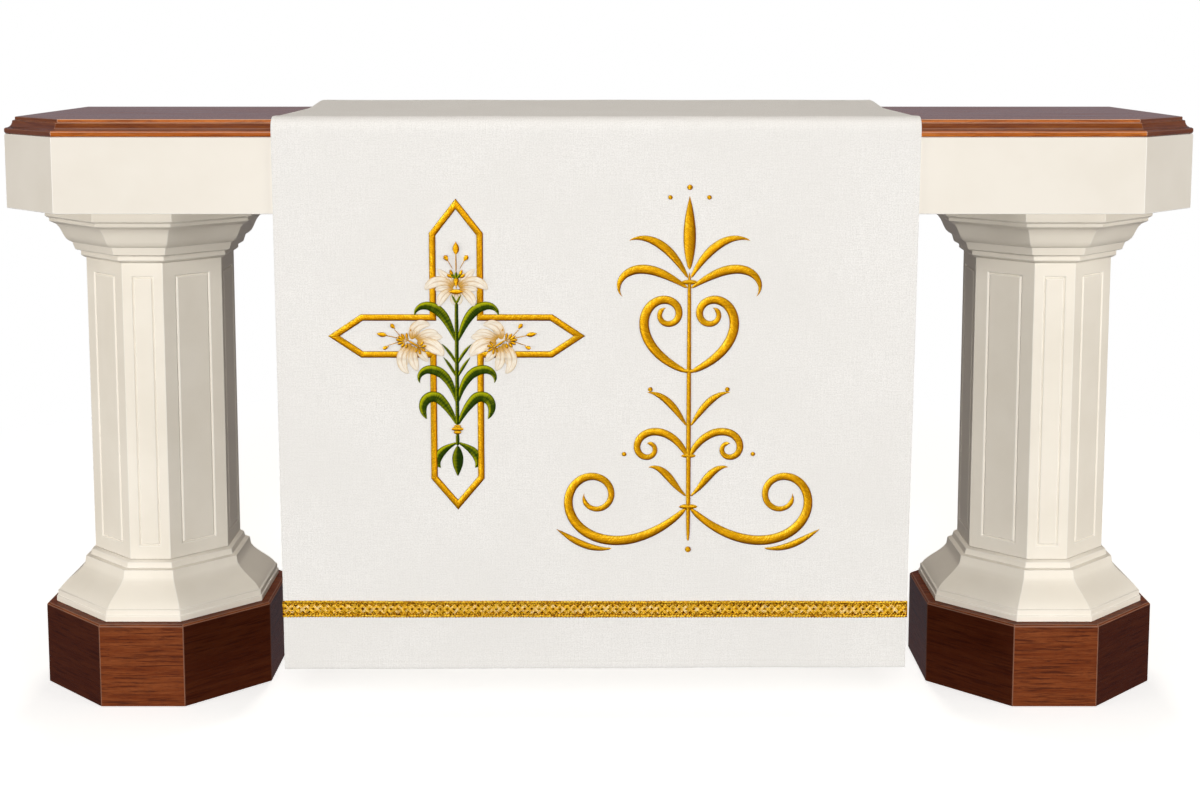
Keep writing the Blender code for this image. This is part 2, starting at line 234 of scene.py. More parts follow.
def make_stained_wood(name, stretched, streak, board, light, dark, arris_highlight, **sockets):
    """A varnished board, whose grain follows the piece's own attributes. Its faces are painted
    light or dark by the board attribute, as painted light and shade, and its arrises get a
    painted highlight in a lighter wood colour, weaker on the faces in painted shade."""
    wood = Finish(name, **sockets)
    grain = wood.node("Group", {
        "Place": wood.along_grain(stretched), "Streak Colour": streak, "Board Colour": board,
        "Light Colour": light,
    }, node_tree=wood_grain).outputs
    share = wood.mark("board")
    colour = wood.mix(share, wood.mix(PAINTED_SHADE_SHARE, grain["Color"], dark), grain["Color"])
    highlight_share = wood.stretch(share, 0.0, 1.0, ARRIS_HIGHLIGHT_IN_SHADE * arris_highlight, arris_highlight)
    colour = wood.mix(wood.times(wood.mark("arris"), highlight_share), colour, ARRIS_HIGHLIGHT_WOOD)
    wood.feed(Base_Color=colour, Roughness=grain["Roughness"])
    wood.raise_by(grain["Height"], GRAIN_DEPTH)
    return wood


def lay_grain(piece, painted_light_of_face):
    """Say where every corner lies along, into and across the grain of its own board, and how
    much painted light its face gets; the rest is painted shade. The grain runs level along
    each face."""
    mesh = piece.data
    mesh.attributes.new("grain", "FLOAT_VECTOR", "CORNER")
    mesh.attributes.new("board", "FLOAT", "CORNER")
    places, shares = mesh.attributes["grain"].data, mesh.attributes["board"].data
    for face in mesh.polygons:
        along = Vector((1.0, 0.0, 0.0))
        level = math.hypot(face.normal.x, face.normal.y)
        if level > STANDING_FROM:
            along = Vector((-face.normal.y, face.normal.x, 0.0)) / level
        into = Vector((-along.y, along.x, 0.0))
        for corner in face.loop_indices:
            spot = mesh.vertices[mesh.loops[corner].vertex_index].co
            places[corner].vector = (spot.dot(along), spot.dot(into), spot.z)
            shares[corner].value = painted_light_of_face(face.normal, spot)


def facing(normal):
    """How far a face looks to the front or back, and how far to a side, from 0 to 1."""
    level = max(math.hypot(normal.x, normal.y), NEARLY_NONE)
    return [max(abs(part) / level - FACING_FROM, 0.0) / (1.0 - FACING_FROM)
            for part in (normal.y, normal.x)]


def plinth_painted_light(normal, _spot):
    """The front and back faces and the lying chamfer are painted fully lit, the side faces
    a little, and the diagonal faces between them in painted shade, for how the light falls.
    """
    front, side = facing(normal)
    return 1.0 if abs(normal.z) > PLINTH_LYING_FROM else front + SIDE_FACE_PAINTED_LIGHT * side


wood_grain = make_wood_grain()
plinth_wood = make_stained_wood(
    "plinth_wood", (1.1, 20.0, 20.0),
    streak=(0.054, 0.012, 0.006, 1.0), board=(0.154, 0.033, 0.009, 1.0),
    light=(0.235, 0.062, 0.018, 1.0), dark=(0.022, 0.002, 0.0004, 1.0), arris_highlight=0.16,
    Specular_IOR_Level=0.05)

for side in ("left", "right"):
    plinth = joiners_copy("plinth_" + side, "plinth_board_" + side)
    rub_down(plinth, PLINTH_ARRIS)
    lay_grain(plinth, plinth_painted_light)
    plinth.data.materials.append(plinth_wood.material)
    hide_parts("plinth_" + side)
    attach(plinth, "root")


# Base mouldings, pillars and capitals. Each pillar is an eight-sided box of painted board
# with a grooved panel on every face. An ogee base moulding and a stepped capital are mitred
# round its ends. All are sprayed with the same satin cream paint.
MOULDING_ARRIS = 0.0010
SPRAY_PER_METRE, SPRAY_DEPTH = 420.0, 0.00005
# The colour of the painted highlight along the paint's arrises
PAINTED_ARRIS_HIGHLIGHT = (0.960, 0.930, 0.880, 1.0)


def own_place(finish):
    """Where a point lies on its own piece, in metres."""
    return finish.node("TexCoord").outputs["Object"]


def make_cream_paint(name, low, high, edge_light):
    """Satin paint, with a painted highlight: a little lighter along the arrises."""
    paint = Finish(name, Specular_IOR_Level=0.42)
    place = own_place(paint)
    cloudy = paint.speckle(place, 9.0, 3.0)
    colour = paint.mix(paint.stretch(cloudy, 0.35, 0.65), low, high)
    colour = paint.mix(paint.times(paint.mark("arris"), edge_light), colour, PAINTED_ARRIS_HIGHLIGHT)
    paint.feed(Base_Color=colour, Roughness=paint.stretch(cloudy, 0.3, 0.7, 0.36, 0.44))
    paint.raise_by(paint.speckle(place, SPRAY_PER_METRE, 2.0), SPRAY_DEPTH)
    return paint.material


cream_paint = make_cream_paint(
    "cream_paint", (0.868, 0.806, 0.698, 1.0), (0.908, 0.849, 0.745, 1.0), edge_light=0.25)

for side in ("left", "right"):
    for part in ("base_moulding", "pillar", "capital"):
        node_name = part + "_" + side
        piece = joiners_copy(node_name, part + "_painted_" + side)
        rub_down(piece, MOULDING_ARRIS, 2)
        piece.data.materials.append(cream_paint)
        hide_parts(node_name)
        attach(piece, "root")


# Apron. A painted box of board under the wooden top, with its front corners cut off. Its
# upper edge is rounded, and it is sprayed with a darker copy of the pillars' cream paint,
# as painted shade against the stronger light on it, with a stronger painted highlight
# along its arrises.
APRON_ARRIS = 0.0015

# A darker copy of the cream paint, as painted shade, with a stronger painted highlight
shaded_apron_paint = make_cream_paint(
    "shaded_apron_paint", (0.775, 0.727, 0.646, 1.0), (0.803, 0.757, 0.680, 1.0), edge_light=0.8)
apron = joiners_copy("altar_apron", "apron_painted")
rub_down(apron, APRON_ARRIS)
apron.data.materials.append(shaded_apron_paint)
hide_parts("altar_apron")
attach(apron, "root")


# Wooden top. One board with its grain along the table, worked on its edge with a fillet, a
# cove and a rounded lip. It is stained like the plinths and varnished to a higher gloss.
TOP_ARRIS = 0.0012
TOP_LYING_FROM = 0.9
# Painted shade: the shares of the painted light left on the lying face and in the cove
TOP_LYING_SHARE, COVE_SHARE = 0.3, 0.12
COVE_FROM, COVE_TO = 0.0065, 0.0175
POLISH_STRETCHED = (1.4, 30.0, 30.0)

top_low, top_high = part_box("altar_top")


def top_painted_light(normal, spot):
    """Painted shade: the lying face, the hollow of the cove and the cut corners are painted
    darker than the long moulded edges and the ends, for how the light falls on them."""
    if abs(normal.z) > TOP_LYING_FROM:
        return TOP_LYING_SHARE
    in_cove = COVE_FROM < top_high.z - spot.z < COVE_TO
    return max(facing(normal)) * (COVE_SHARE if in_cove else 1.0)


top_wood = make_stained_wood(
    "top_wood", (1.0, 14.0, 14.0),
    streak=(0.215, 0.044, 0.003, 1.0), board=(0.415, 0.095, 0.005, 1.0),
    light=(0.580, 0.172, 0.018, 1.0), dark=(0.066, 0.011, 0.001, 1.0), arris_highlight=0.55,
    Coat_Roughness=0.12, Specular_IOR_Level=0.10)
polish = top_wood.speckle(top_wood.along_grain(POLISH_STRETCHED), 5.0, 4.0, 0.6)
top_wood.feed(Coat_Weight=top_wood.stretch(polish, 0.38, 0.62, 0.50, 1.0))
board = joiners_copy("altar_top", "top_board")
rub_down(board, TOP_ARRIS, 2)
lay_grain(board, top_painted_light)
board.data.materials.append(top_wood.material)
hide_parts("altar_top")
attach(board, "root")


# Parament. One length of white linen is laid over the table, hangs nearly to the floor in
# front and a hand's breadth down behind. All its edges are turned under and stitched, so
# the hems are a little thicker. It was pressed flat, and keeps only faint soft dimples.
CLOTH_THICKNESS = 0.0020
HEM_THICKNESS = 0.0030
EDGE_CLEARANCE = 0.0020
FIT_GAP = 0.0003
FOLD_RADIUS = 0.0200
CLOTH_HALF_WIDTH_TOP, CLOTH_HALF_WIDTH_HEM = 0.5153, 0.5078
CLOTH_CENTRE_TOP, CLOTH_CENTRE_HEM = -0.0041, -0.0064
CLOTH_BOTTOM, CLOTH_BOTTOM_RISE = 0.0912, 0.0038
CLOTH_BACK_END = 0.8600
FRONT_LIFT, FRONT_LIFT_START = 0.0017, 0.75
BACK_LIFT, BACK_LIFT_START = 0.0090, 0.30
RIPPLE = 0.0026
HANGING_MIDDLE = 0.5
HANGING_WAVES = ((0.30, 0.37, 0.6), (0.20, 0.61, 2.4))
LYING_RIPPLE = 0.0005
LYING_WAVE_ACROSS, LYING_WAVE_ALONG = 0.29, 0.23
BRAID_LOW, BRAID_HIGH = 0.1790, 0.2075
CLOTH_STEP = 0.0080

# Distances in from an edge, as shares of its hem, where the cloth gets a row of points
HEM_SHARES = (0.0, 0.10, 0.30, 0.60, 0.80, 0.92, 1.04, 1.18, 1.45)
BOTTOM_HEM, SIDE_HEM = 0.0140, 0.0090
HEM_RISE, HEM_RISE_FROM, HEM_RISE_OVER = 0.0004, 0.95, 0.35
HEM_ROUND, HEM_ROUND_TO = 0.0009, 0.22
SEAM_SHARE, SEAM_SINK, SEAM_SPREAD = 0.86, 0.00035, 0.12
CREASE_DEPTH, CREASE_FADE, CREASE_SEED = 0.0006, 0.25, 2.0
CREASE_GRAIN = (7.0, 4.5)
LINEN_SMOOTH_TO = math.radians(50.0)
THREAD_PITCH = 0.0011
LINEN_DEPTH = 0.00022
LINEN_LIGHT = (0.930, 0.917, 0.899, 1.0)
LINEN_SHADE = (0.745, 0.731, 0.709, 1.0)
LINEN_CLOUD = (0.805, 0.790, 0.766, 1.0)

# Soft dimples of the hanging front: where, how wide and tall, and how deep
DIMPLES = (
    (0.468, 0.148, 0.030, 0.050, 0.0010),
    (0.476, 0.318, 0.022, 0.060, 0.0008),
    (-0.462, 0.272, 0.030, 0.070, 0.0008),
    (-0.440, 0.160, 0.050, 0.030, 0.0007),
    (0.120, 0.128, 0.110, 0.022, 0.0006),
    (0.300, 0.700, 0.120, 0.090, 0.0007),
)

FACE_Y = top_low.y - EDGE_CLEARANCE - HEM_THICKNESS
REST_Z = top_high.z + FIT_GAP + HEM_THICKNESS
LYING_HALF = -FACE_Y - FOLD_RADIUS


def between(low, high, share):
    return low + (high - low) * share


def eased(value):
    """0 to 1, easing in and out."""
    value = min(max(value, 0.0), 1.0)
    return value * value * (3.0 - 2.0 * value)


def lying_height(y):
    """The show face on the table, eased up towards both folds."""
    front = eased((-y / LYING_HALF - FRONT_LIFT_START) / (1.0 - FRONT_LIFT_START))
    back = eased((y / LYING_HALF - BACK_LIFT_START) / (1.0 - BACK_LIFT_START))
    return REST_Z + FRONT_LIFT * front + BACK_LIFT * back


FOLD_START = lying_height(-LYING_HALF) - FOLD_RADIUS
BACK_FOLD_START = lying_height(LYING_HALF) - FOLD_RADIUS
FRONT_DROP = FOLD_START - CLOTH_BOTTOM
BACK_DROP = BACK_FOLD_START - CLOTH_BACK_END
FOLD_ARC = FOLD_RADIUS * math.pi / 2.0
CLOTH_LENGTH = FRONT_DROP + FOLD_ARC + 2.0 * LYING_HALF + FOLD_ARC + BACK_DROP
CLOTH_WIDTH = 2.0 * CLOTH_HALF_WIDTH_TOP


def cloth_front_y(x, z):
    """The show face of the hanging front: its slow belly, faint creases and dimples."""
    down = min(max((FOLD_START - z) / FRONT_DROP, 0.0), 1.0)
    wave = HANGING_MIDDLE
    for share, length, phase in HANGING_WAVES:
        wave += share * math.sin(math.tau * x / length + phase)
    proud = RIPPLE * down * down * wave
    spot = Vector((x * CREASE_GRAIN[0], z * CREASE_GRAIN[1], CREASE_SEED))
    proud += CREASE_DEPTH * eased(down / CREASE_FADE) * noise.noise(spot)
    for at_x, at_z, wide, tall, deep in DIMPLES:
        proud -= deep * math.exp(-((x - at_x) / wide) ** 2 - ((z - at_z) / tall) ** 2)
    return FACE_Y - proud


def hem_relief(distance, depth):
    """How proud the show face stands near an edge: rounded over at the edge, raised over
    the turned-under hem, and drawn in where it is stitched."""
    share = distance / depth
    raised = HEM_RISE * (1.0 - eased((share - HEM_RISE_FROM) / HEM_RISE_OVER))
    rounded = HEM_ROUND * max(1.0 - share / HEM_ROUND_TO, 0.0) ** 2
    drawn = SEAM_SINK * math.exp(-((share - SEAM_SHARE) / SEAM_SPREAD) ** 2)
    return raised - rounded - drawn


def cloth_course(along):
    """The cloth's line at a distance from its front hem: y, z and the way out of it."""
    if along <= FRONT_DROP:
        return FACE_Y, CLOTH_BOTTOM + along, (-1.0, 0.0)
    along -= FRONT_DROP
    if along <= FOLD_ARC:
        out = (-math.cos(along / FOLD_RADIUS), math.sin(along / FOLD_RADIUS))
        return -LYING_HALF + FOLD_RADIUS * out[0], FOLD_START + FOLD_RADIUS * out[1], out
    along -= FOLD_ARC
    if along <= 2.0 * LYING_HALF:
        return -LYING_HALF + along, lying_height(-LYING_HALF + along), (0.0, 1.0)
    along -= 2.0 * LYING_HALF
    if along <= FOLD_ARC:
        out = (math.sin(along / FOLD_RADIUS), math.cos(along / FOLD_RADIUS))
        return LYING_HALF + FOLD_RADIUS * out[0], BACK_FOLD_START + FOLD_RADIUS * out[1], out
    return -FACE_Y, BACK_FOLD_START - (along - FOLD_ARC), (1.0, 0.0)


def cloth_place(across, along, proud=0.0):
    """A point on the show face: across from -1 to 1, along from the front hem to the back."""
    to_side = (1.0 - abs(across)) * CLOTH_HALF_WIDTH_TOP
    to_end = min(along, CLOTH_LENGTH - along)
    reliefs = (hem_relief(to_side, SIDE_HEM), hem_relief(to_end, BOTTOM_HEM))
    proud += min(reliefs) if min(reliefs) < 0.0 else max(reliefs)
    down = min(max((FRONT_DROP - along) / FRONT_DROP, 0.0), 1.0)
    half = between(CLOTH_HALF_WIDTH_TOP, CLOTH_HALF_WIDTH_HEM, down)
    x = between(CLOTH_CENTRE_TOP, CLOTH_CENTRE_HEM, down) + half * across
    y, z, out = cloth_course(along)
    if along <= FRONT_DROP:
        low = max((BRAID_LOW - z) / (BRAID_LOW - CLOTH_BOTTOM), 0.0)
        z += CLOTH_BOTTOM_RISE * low * (across + 1.0) / 2.0
        y = cloth_front_y(x, z)
    elif out == (0.0, 1.0) and to_side > SIDE_HEM:
        wave = math.sin(math.tau * (x / LYING_WAVE_ACROSS + y / LYING_WAVE_ALONG))
        z += LYING_RIPPLE * (1.0 + wave) / 2.0
    return x, y + out[0] * proud, z + out[1] * proud


def cloth_stations(length, hem):
    """Distances from one edge to the other, close together over both hems."""
    edge = [share * hem for share in HEM_SHARES]
    inner = length - 2.0 * edge[-1]
    steps = math.ceil(inner / CLOTH_STEP)
    middle = [edge[-1] + inner * i / steps for i in range(1, steps)]
    return edge + middle + [length - distance for distance in reversed(edge)]


def sides_of(finish, vector):
    """The X, Y and Z of a vector."""
    return finish.node("SeparateXYZ", {"Vector": vector}).outputs


def make_linen():
    """Plain weave with thick and thin threads, read in metres from the cloth's own map."""
    linen = Finish("white_linen", Roughness=0.88, Sheen_Weight=0.25, Sheen_Roughness=0.5,
                   Specular_IOR_Level=0.25)
    place = linen.node("UVMap", uv_map="weave").outputs["UV"]
    weft, warp = (
        linen.speckle(linen.node("Mapping", {"Vector": place, "Scale": scale}).outputs[0], 30.0, 4.0, 0.7)
        for scale in ((1.0, 19.0, 1.0), (19.0, 1.0, 1.0)))
    threads = linen.total(weft, warp)
    grain = linen.speckle(place, 460.0, 3.0, 0.7)
    cloudy = linen.speckle(place, 5.0, 3.0, 0.5)
    sides = sides_of(linen, place)
    turns = [linen.reckon("SINE", linen.times(sides[axis], math.tau / THREAD_PITCH)) for axis in "XY"]
    tone = linen.total((threads, 0.32), (grain, 0.86))
    colour = linen.mix(linen.stretch(tone, 0.60, 0.90), LINEN_SHADE, LINEN_LIGHT)
    colour = linen.mix(linen.stretch(cloudy, 0.36, 0.64, 0.0, 0.6), colour, LINEN_CLOUD)
    linen.feed(Base_Color=colour)
    linen.raise_by(linen.total(threads, (linen.times(*turns), 0.25), grain), LINEN_DEPTH)
    return linen.material


columns = [2.0 * distance / CLOTH_WIDTH - 1.0 for distance in cloth_stations(CLOTH_WIDTH, SIDE_HEM)]
rows = cloth_stations(CLOTH_LENGTH, BOTTOM_HEM)
bpy.ops.mesh.primitive_grid_add(
    x_subdivisions=len(columns) - 1, y_subdivisions=len(rows) - 1, size=1.0)
parament = bpy.context.object
parament.name = "parament_linen"
mesh = parament.data
weave_map = mesh.uv_layers[0]
weave_map.name = "weave"
hems = parament.vertex_groups.new(name="hems")
flat_places = []
for vert in mesh.vertices:
    across = columns[round((vert.co.x + 0.5) * (len(columns) - 1))]
    along = rows[round((vert.co.y + 0.5) * (len(rows) - 1))]
    x = across * CLOTH_WIDTH / 2.0
    in_hem = CLOTH_WIDTH / 2.0 - abs(x) < SIDE_HEM or min(along, CLOTH_LENGTH - along) < BOTTOM_HEM
    hems.add([vert.index], 1.0 if in_hem else CLOTH_THICKNESS / HEM_THICKNESS, "REPLACE")
    flat_places.append((x, along))
    vert.co = cloth_place(across, along)
for loop in mesh.loops:
    weave_map.data[loop.index].uv = flat_places[loop.vertex_index]
work(parament, "SOLIDIFY", thickness=HEM_THICKNESS, offset=-1.0, vertex_group="hems")
bpy.ops.object.shade_smooth_by_angle(angle=LINEN_SMOOTH_TO)
parament.data.materials.append(make_linen())
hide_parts("parament")
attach(parament, "root")


# Hem stitching. A row of short stitches in white thread holds down each hem, a little
# inside its turned edge.
STITCH_PITCH = 0.0040
STITCH_SIZE = (0.0027, 0.0007, 0.00035)
STITCH_EDGES, STITCH_RINGS = 6, 4
THREAD_WHITE = (0.86, 0.84, 0.80, 1.0)
THREAD_SHADE = (0.66, 0.63, 0.57, 1.0)


def make_bead(size, edges, rings, lean=0.0):
    """A thread's short visible run: long along X, wide along Y and raised along Z. It can
    lean over in its own plane."""
    bpy.ops.mesh.primitive_uv_sphere_add(segments=edges, ring_count=rings, radius=0.5)
    bead = bpy.context.object
    middle = (0.0, 0.0, 0.0)
    with editing():
        bpy.ops.transform.rotate(value=math.pi / 2.0, orient_axis="Y", center_override=middle)
        bpy.ops.transform.resize(value=size, center_override=middle)
        bpy.ops.transform.rotate(value=-lean, orient_axis="Z", center_override=middle)
    return bead


def row_of(bead, pitch, length, place_on):
    """A row of copies of a bead, centred in a length. A rule lays each point on the cloth."""
    count = int(length / pitch)
    work(bead, "ARRAY", use_relative_offset=False, use_constant_offset=True,
         constant_offset_displace=(pitch, 0.0, 0.0), count=count)
    margin = (length - (count - 1) * pitch) / 2.0
    for vert in bead.data.vertices:
        vert.co = place_on(vert.co.x + margin, vert.co.y, vert.co.z)
    return bead


def join_as(name, pieces, material):
    """Join the pieces into one with that name and material, and smooth it."""
    pick(*pieces)
    if len(pieces) > 1:
        bpy.ops.object.join()
    joined = bpy.context.object
    joined.name = name
    joined.data.name = name
    bpy.ops.object.shade_smooth()
    joined.data.materials.append(material)
    return joined


def sew_seam(length, place_on):
    stitch = make_bead(STITCH_SIZE, STITCH_EDGES, STITCH_RINGS)
    return row_of(stitch, STITCH_PITCH, length, place_on)


def end_seam(far):
    """Lays a stitch along the front hem, or along the back hem where far is true."""
    def place_on(run, aside, high):
        from_edge = SEAM_SHARE * BOTTOM_HEM + aside
        along = CLOTH_LENGTH - from_edge if far else from_edge
        return cloth_place(2.0 * run / CLOTH_WIDTH - 1.0, along, high)
    return place_on


def side_seam(side):
    """Lays a stitch along the left or the right hem."""
    def place_on(run, aside, high):
        across = 1.0 - 2.0 * (SEAM_SHARE * SIDE_HEM + aside) / CLOTH_WIDTH
        return cloth_place(side * across, run, high)
    return place_on


white_thread = Finish("white_thread", Roughness=0.6)
shine = white_thread.speckle(own_place(white_thread), 900.0)
white_thread.feed(Base_Color=white_thread.mix(shine, THREAD_SHADE, THREAD_WHITE))
hem_stitching = join_as("hem_stitching", [
    sew_seam(CLOTH_WIDTH, end_seam(False)), sew_seam(CLOTH_WIDTH, end_seam(True)),
    sew_seam(CLOTH_LENGTH, side_seam(-1.0)), sew_seam(CLOTH_LENGTH, side_seam(1.0)),
], white_thread.material)
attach(hem_stitching, "root")


# Gold braid. A woven strip is sewn across the cloth above its front hem. Four fine plaits
# cross over and under each other between two fine lines of beads, on a ground of gold
# seeds, and a twisted cord edges each side. All is gold metallic thread.
BRAID_MIDDLE = (BRAID_LOW + BRAID_HIGH) / 2.0
BRAID_HALF = (BRAID_HIGH - BRAID_LOW) / 2.0
BRAID_GAP = 0.0003
GROUND_THICKNESS, GROUND_INSET, GROUND_COLUMNS = 0.0007, 0.0008, 100

# Rows along each side of the braid: bead size, pitch, lean, distance from the edge, and
# the bead's edges and rings
BRAID_ROWS = (
    ((0.0078, 0.0036, 0.0026), 0.0050, math.radians(38.0), 0.0027, 8, 5),
    ((0.0034, 0.0013, 0.0014), 0.0044, 0.0, 0.0066, 6, 4),
)
PLAIT_PERIOD, PLAIT_REACH = 0.0230, 0.0052
PLAIT_SPREAD = 0.0014
PLAIT_HALF, PLAIT_CROWN = 0.0009, 0.0006
PLAIT_STEP = 0.0014
PLAIT_CROSSING = 0.0003
PLAIT_END_GAP = 0.0015
TURN_SHARPNESS = 0.97
STROKE_ROWS = 8
UNDER_SHARE = 0.6
MIDDLE_TONE = 0.5
SAME_PLACE = 0.000002
SEEDS_PER_METRE = 430.0
GOLD_PALE = (0.93, 0.65, 0.07, 1.0)
GOLD_LIGHT = (0.72, 0.385, 0.004, 1.0)
GOLD_BODY = (0.45, 0.180, 0.001, 1.0)
GOLD_EDGE = (0.190, 0.050, 0.001, 1.0)
SEED_GAP = (0.080, 0.018, 0.0005, 1.0)
PLAIT_PALE = (0.84, 0.50, 0.040, 1.0)
PLAIT_FLASH = (1.0, 0.92, 0.58, 1.0)


def lay_stroke(rings, place):
    """One stroke of stitching on the hanging front: a grid wrapped round into a closed tube
    whose ends come to a point. The rule place(ring, across, over) gives x, z, the height
    over the cloth, the way along in metres and as a share, how far it faces up and left,
    and its tone. Across runs from -1 to 1; over from 0 at the edges to 1 on top, or -1 below."""
    section = [(-math.cos(math.pi * row / STROKE_ROWS), math.sin(math.pi * row / STROKE_ROWS))
               for row in range(STROKE_ROWS + 1)]
    section += [(UNDER_SHARE, -1.0), (-UNDER_SHARE, -1.0), section[0]]
    bpy.ops.mesh.primitive_grid_add(
        x_subdivisions=rings, y_subdivisions=len(section) - 1, size=1.0)
    stroke = bpy.context.object
    marks = stroke.data.attributes
    marks.new("stitch", "FLOAT_VECTOR", "POINT")
    marks.new("lit", "FLOAT", "POINT")
    marks.new("tone", "FLOAT", "POINT")
    for vert in stroke.data.vertices:
        across, over = section[vert.index // (rings + 1)]
        x, z, rise, way, share, lit, tone = place(vert.index % (rings + 1), across, over)
        vert.co = (x, cloth_front_y(x, z) - rise, z)
        marks["stitch"].data[vert.index].vector = (way, across, share)
        marks["lit"].data[vert.index].value = lit
        marks["tone"].data[vert.index].value = tone
    with editing():
        bpy.ops.mesh.remove_doubles(threshold=SAME_PLACE)
        bpy.ops.mesh.normals_make_consistent(inside=False)
    return stroke


def toward(start, end):
    """How far it is from one point to another, and the unit direction."""
    size = math.dist(start, end)
    return size, ((end[0] - start[0]) / size, (end[1] - start[1]) / size)


def follow(points):
    """For each point of a path: the way along it, and its unit direction there."""
    ways = [0.0]
    for before, after in zip(points, points[1:]):
        ways.append(ways[-1] + math.dist(before, after))
    last = len(points) - 1
    return ways, [toward(points[max(i - 1, 0)], points[min(i + 1, last)])[1] for i in range(last + 1)]


def zigzag(x):
    """A wave of straight runs and slightly rounded turns, from -1 to 1."""
    turn = math.tau * x / PLAIT_PERIOD
    return math.asin(TURN_SHARPNESS * math.sin(turn)) / math.asin(TURN_SHARPNESS)


def lay_plait(start, end, side, aside):
    """One fine plait over the braid's length, turning at a constant pitch. It crosses over
    and under the other pair, and aside is how far it stands from the middle of its own."""
    rings = int((end - start) / PLAIT_STEP)
    xs = [between(start, end, i / rings) for i in range(rings + 1)]
    points = [(x, BRAID_MIDDLE + aside + side * PLAIT_REACH * zigzag(x)) for x in xs]
    ways, directions = follow(points)

    def place(ring, across, over):
        (x, z), (dx, dz) = points[ring], directions[ring]
        taper = 0.0 if ring in (0, rings) else PLAIT_HALF * across
        x, z = x - dz * taper, z + dx * taper
        crossing = 1.0 + side * math.cos(math.tau * x / PLAIT_PERIOD)
        rise = GROUND_THICKNESS + PLAIT_CROSSING * crossing + PLAIT_CROWN * max(over, 0.0)
        return x, z, rise, ways[ring], ring / rings, across, MIDDLE_TONE
    return lay_stroke(rings, place)


def make_thread_lines():
    """Fine threads laid side by side: a height, a random tone for each thread, and how near
    to an edge of the stroke the point is."""
    lines, given, result = shared_effect(
        "thread_lines", {"Along": "Float", "Across": "Float", "Pitch": "Float"},
        {"Height": "Float", "Tone": "Float", "Edge": "Float"})
    count = lines.reckon("DIVIDE", given["Along"], given["Pitch"])
    line = lines.reckon("ABSOLUTE", lines.reckon("SINE", lines.times(count, math.pi)))
    thread = lines.node(
        "TexWhiteNoise", {"W": lines.reckon("FLOOR", count)}, noise_dimensions="1D").outputs["Value"]
    lines.give(result["Height"], line)
    lines.give(result["Tone"], thread)
    lines.give(result["Edge"], lines.reckon("ABSOLUTE", given["Across"]))
    return lines.tree


thread_lines = make_thread_lines()


class ThreadFinish(Finish):
    """A thread material with its stitch attribute read and its lines raised."""

    def __init__(self, name, pitch, depth, along="X", **sockets):
        super().__init__(name, **sockets)
        stitch = self.node("Attribute", attribute_name="stitch").outputs["Vector"]
        self.parts = sides_of(self, stitch)
        lines = self.node("Group", {
            "Along": self.parts[along], "Across": self.parts["Y"], "Pitch": pitch,
        }, node_tree=thread_lines).outputs
        self.thread_tone, self.edge = lines["Tone"], lines["Edge"]
        self.raise_by(lines["Height"], depth)


def make_gold_thread():
    """Satin stitch in gold thread, with painted light: brighter where it faces up and left, with
    pale painted highlights and glints, and brown painted shade at its edges, deepest on the
    side that faces away.
    """
    gold = ThreadFinish("gold_thread", 0.0009, 0.00013, Metallic=0.92, Roughness=0.42,
                        Specular_IOR_Level=0.2)
    lit = gold.mark("lit")
    glint = gold.stretch(gold.speckle(own_place(gold), 520.0, 2.0, 0.6), 0.35, 0.65, -0.22, 0.22)
    shine = gold.total((lit, 0.90), (gold.thread_tone, 0.50), glint)
    colour = gold.mix(gold.stretch(shine, -0.15, 0.75), GOLD_BODY, GOLD_LIGHT)
    colour = gold.mix(gold.stretch(shine, 0.60, 1.10), colour, GOLD_PALE)
    shade = gold.total(gold.edge, (lit, -0.22))
    gold.feed(Base_Color=gold.mix(gold.stretch(shade, 0.62, 0.98), colour, GOLD_EDGE))
    return gold.material


def make_braid_gold():
    """The braid's metallic thread: painted pale glints along it over amber. The plait is paler,
    with painted flashes of light."""
    gold = Finish("braid_gold", Metallic=0.9, Roughness=0.36)
    place = own_place(gold)
    glint = gold.speckle(place, 380.0, 2.0, 0.6)
    colour = gold.mix(gold.stretch(glint, 0.34, 0.50), GOLD_EDGE, GOLD_LIGHT)
    colour = gold.mix(gold.stretch(glint, 0.48, 0.62), colour, GOLD_PALE)
    plait = gold.mark("tone")
    colour = gold.mix(gold.times(plait, 1.2), colour, PLAIT_PALE)
    flash = gold.stretch(gold.speckle(place, 130.0, 2.0, 0.6), 0.50, 0.66)
    gold.feed(Base_Color=gold.mix(gold.times(plait, flash), colour, PLAIT_FLASH))
    gold.raise_by(glint, 0.0003)
    return gold.material


def make_ground_gold():
    """The braid's woven ground: close seeds of bright and dull gold thread with brown gaps."""
    gold = Finish("ground_gold", Metallic=0.95, Roughness=0.42)
    seeds = gold.node("TexVoronoi", {"Vector": own_place(gold), "Scale": SEEDS_PER_METRE}).outputs
    shade = sides_of(gold, seeds["Color"])["X"]
    colour = gold.mix(shade, GOLD_BODY, GOLD_LIGHT)
    colour = gold.mix(gold.stretch(shade, 0.80, 1.0), colour, GOLD_PALE)
    gold.feed(Base_Color=gold.mix(gold.stretch(seeds["Distance"], 0.36, 0.62), colour, SEED_GAP))
    gold.raise_by(gold.reckon("SUBTRACT", 1.0, seeds["Distance"]), 0.0008)
    return gold.material


gold_thread = make_gold_thread()
braid_low, braid_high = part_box("gold_braid")


def braid_row(side, size, pitch, lean, from_edge, edges, rings):
    """A twisted cord or a line of beads along one side of the braid."""
    z = BRAID_MIDDLE + side * (BRAID_HALF - from_edge)

    def place_on(run, aside, high):
        x = min(max(braid_low.x + run, braid_low.x), braid_high.x)
        seat = cloth_front_y(x, z) - BRAID_GAP
        return x, min(seat - size[2] / 2.0 - high, seat), z + aside
    return row_of(make_bead(size, edges, rings, lean), pitch, braid_high.x - braid_low.x, place_on)


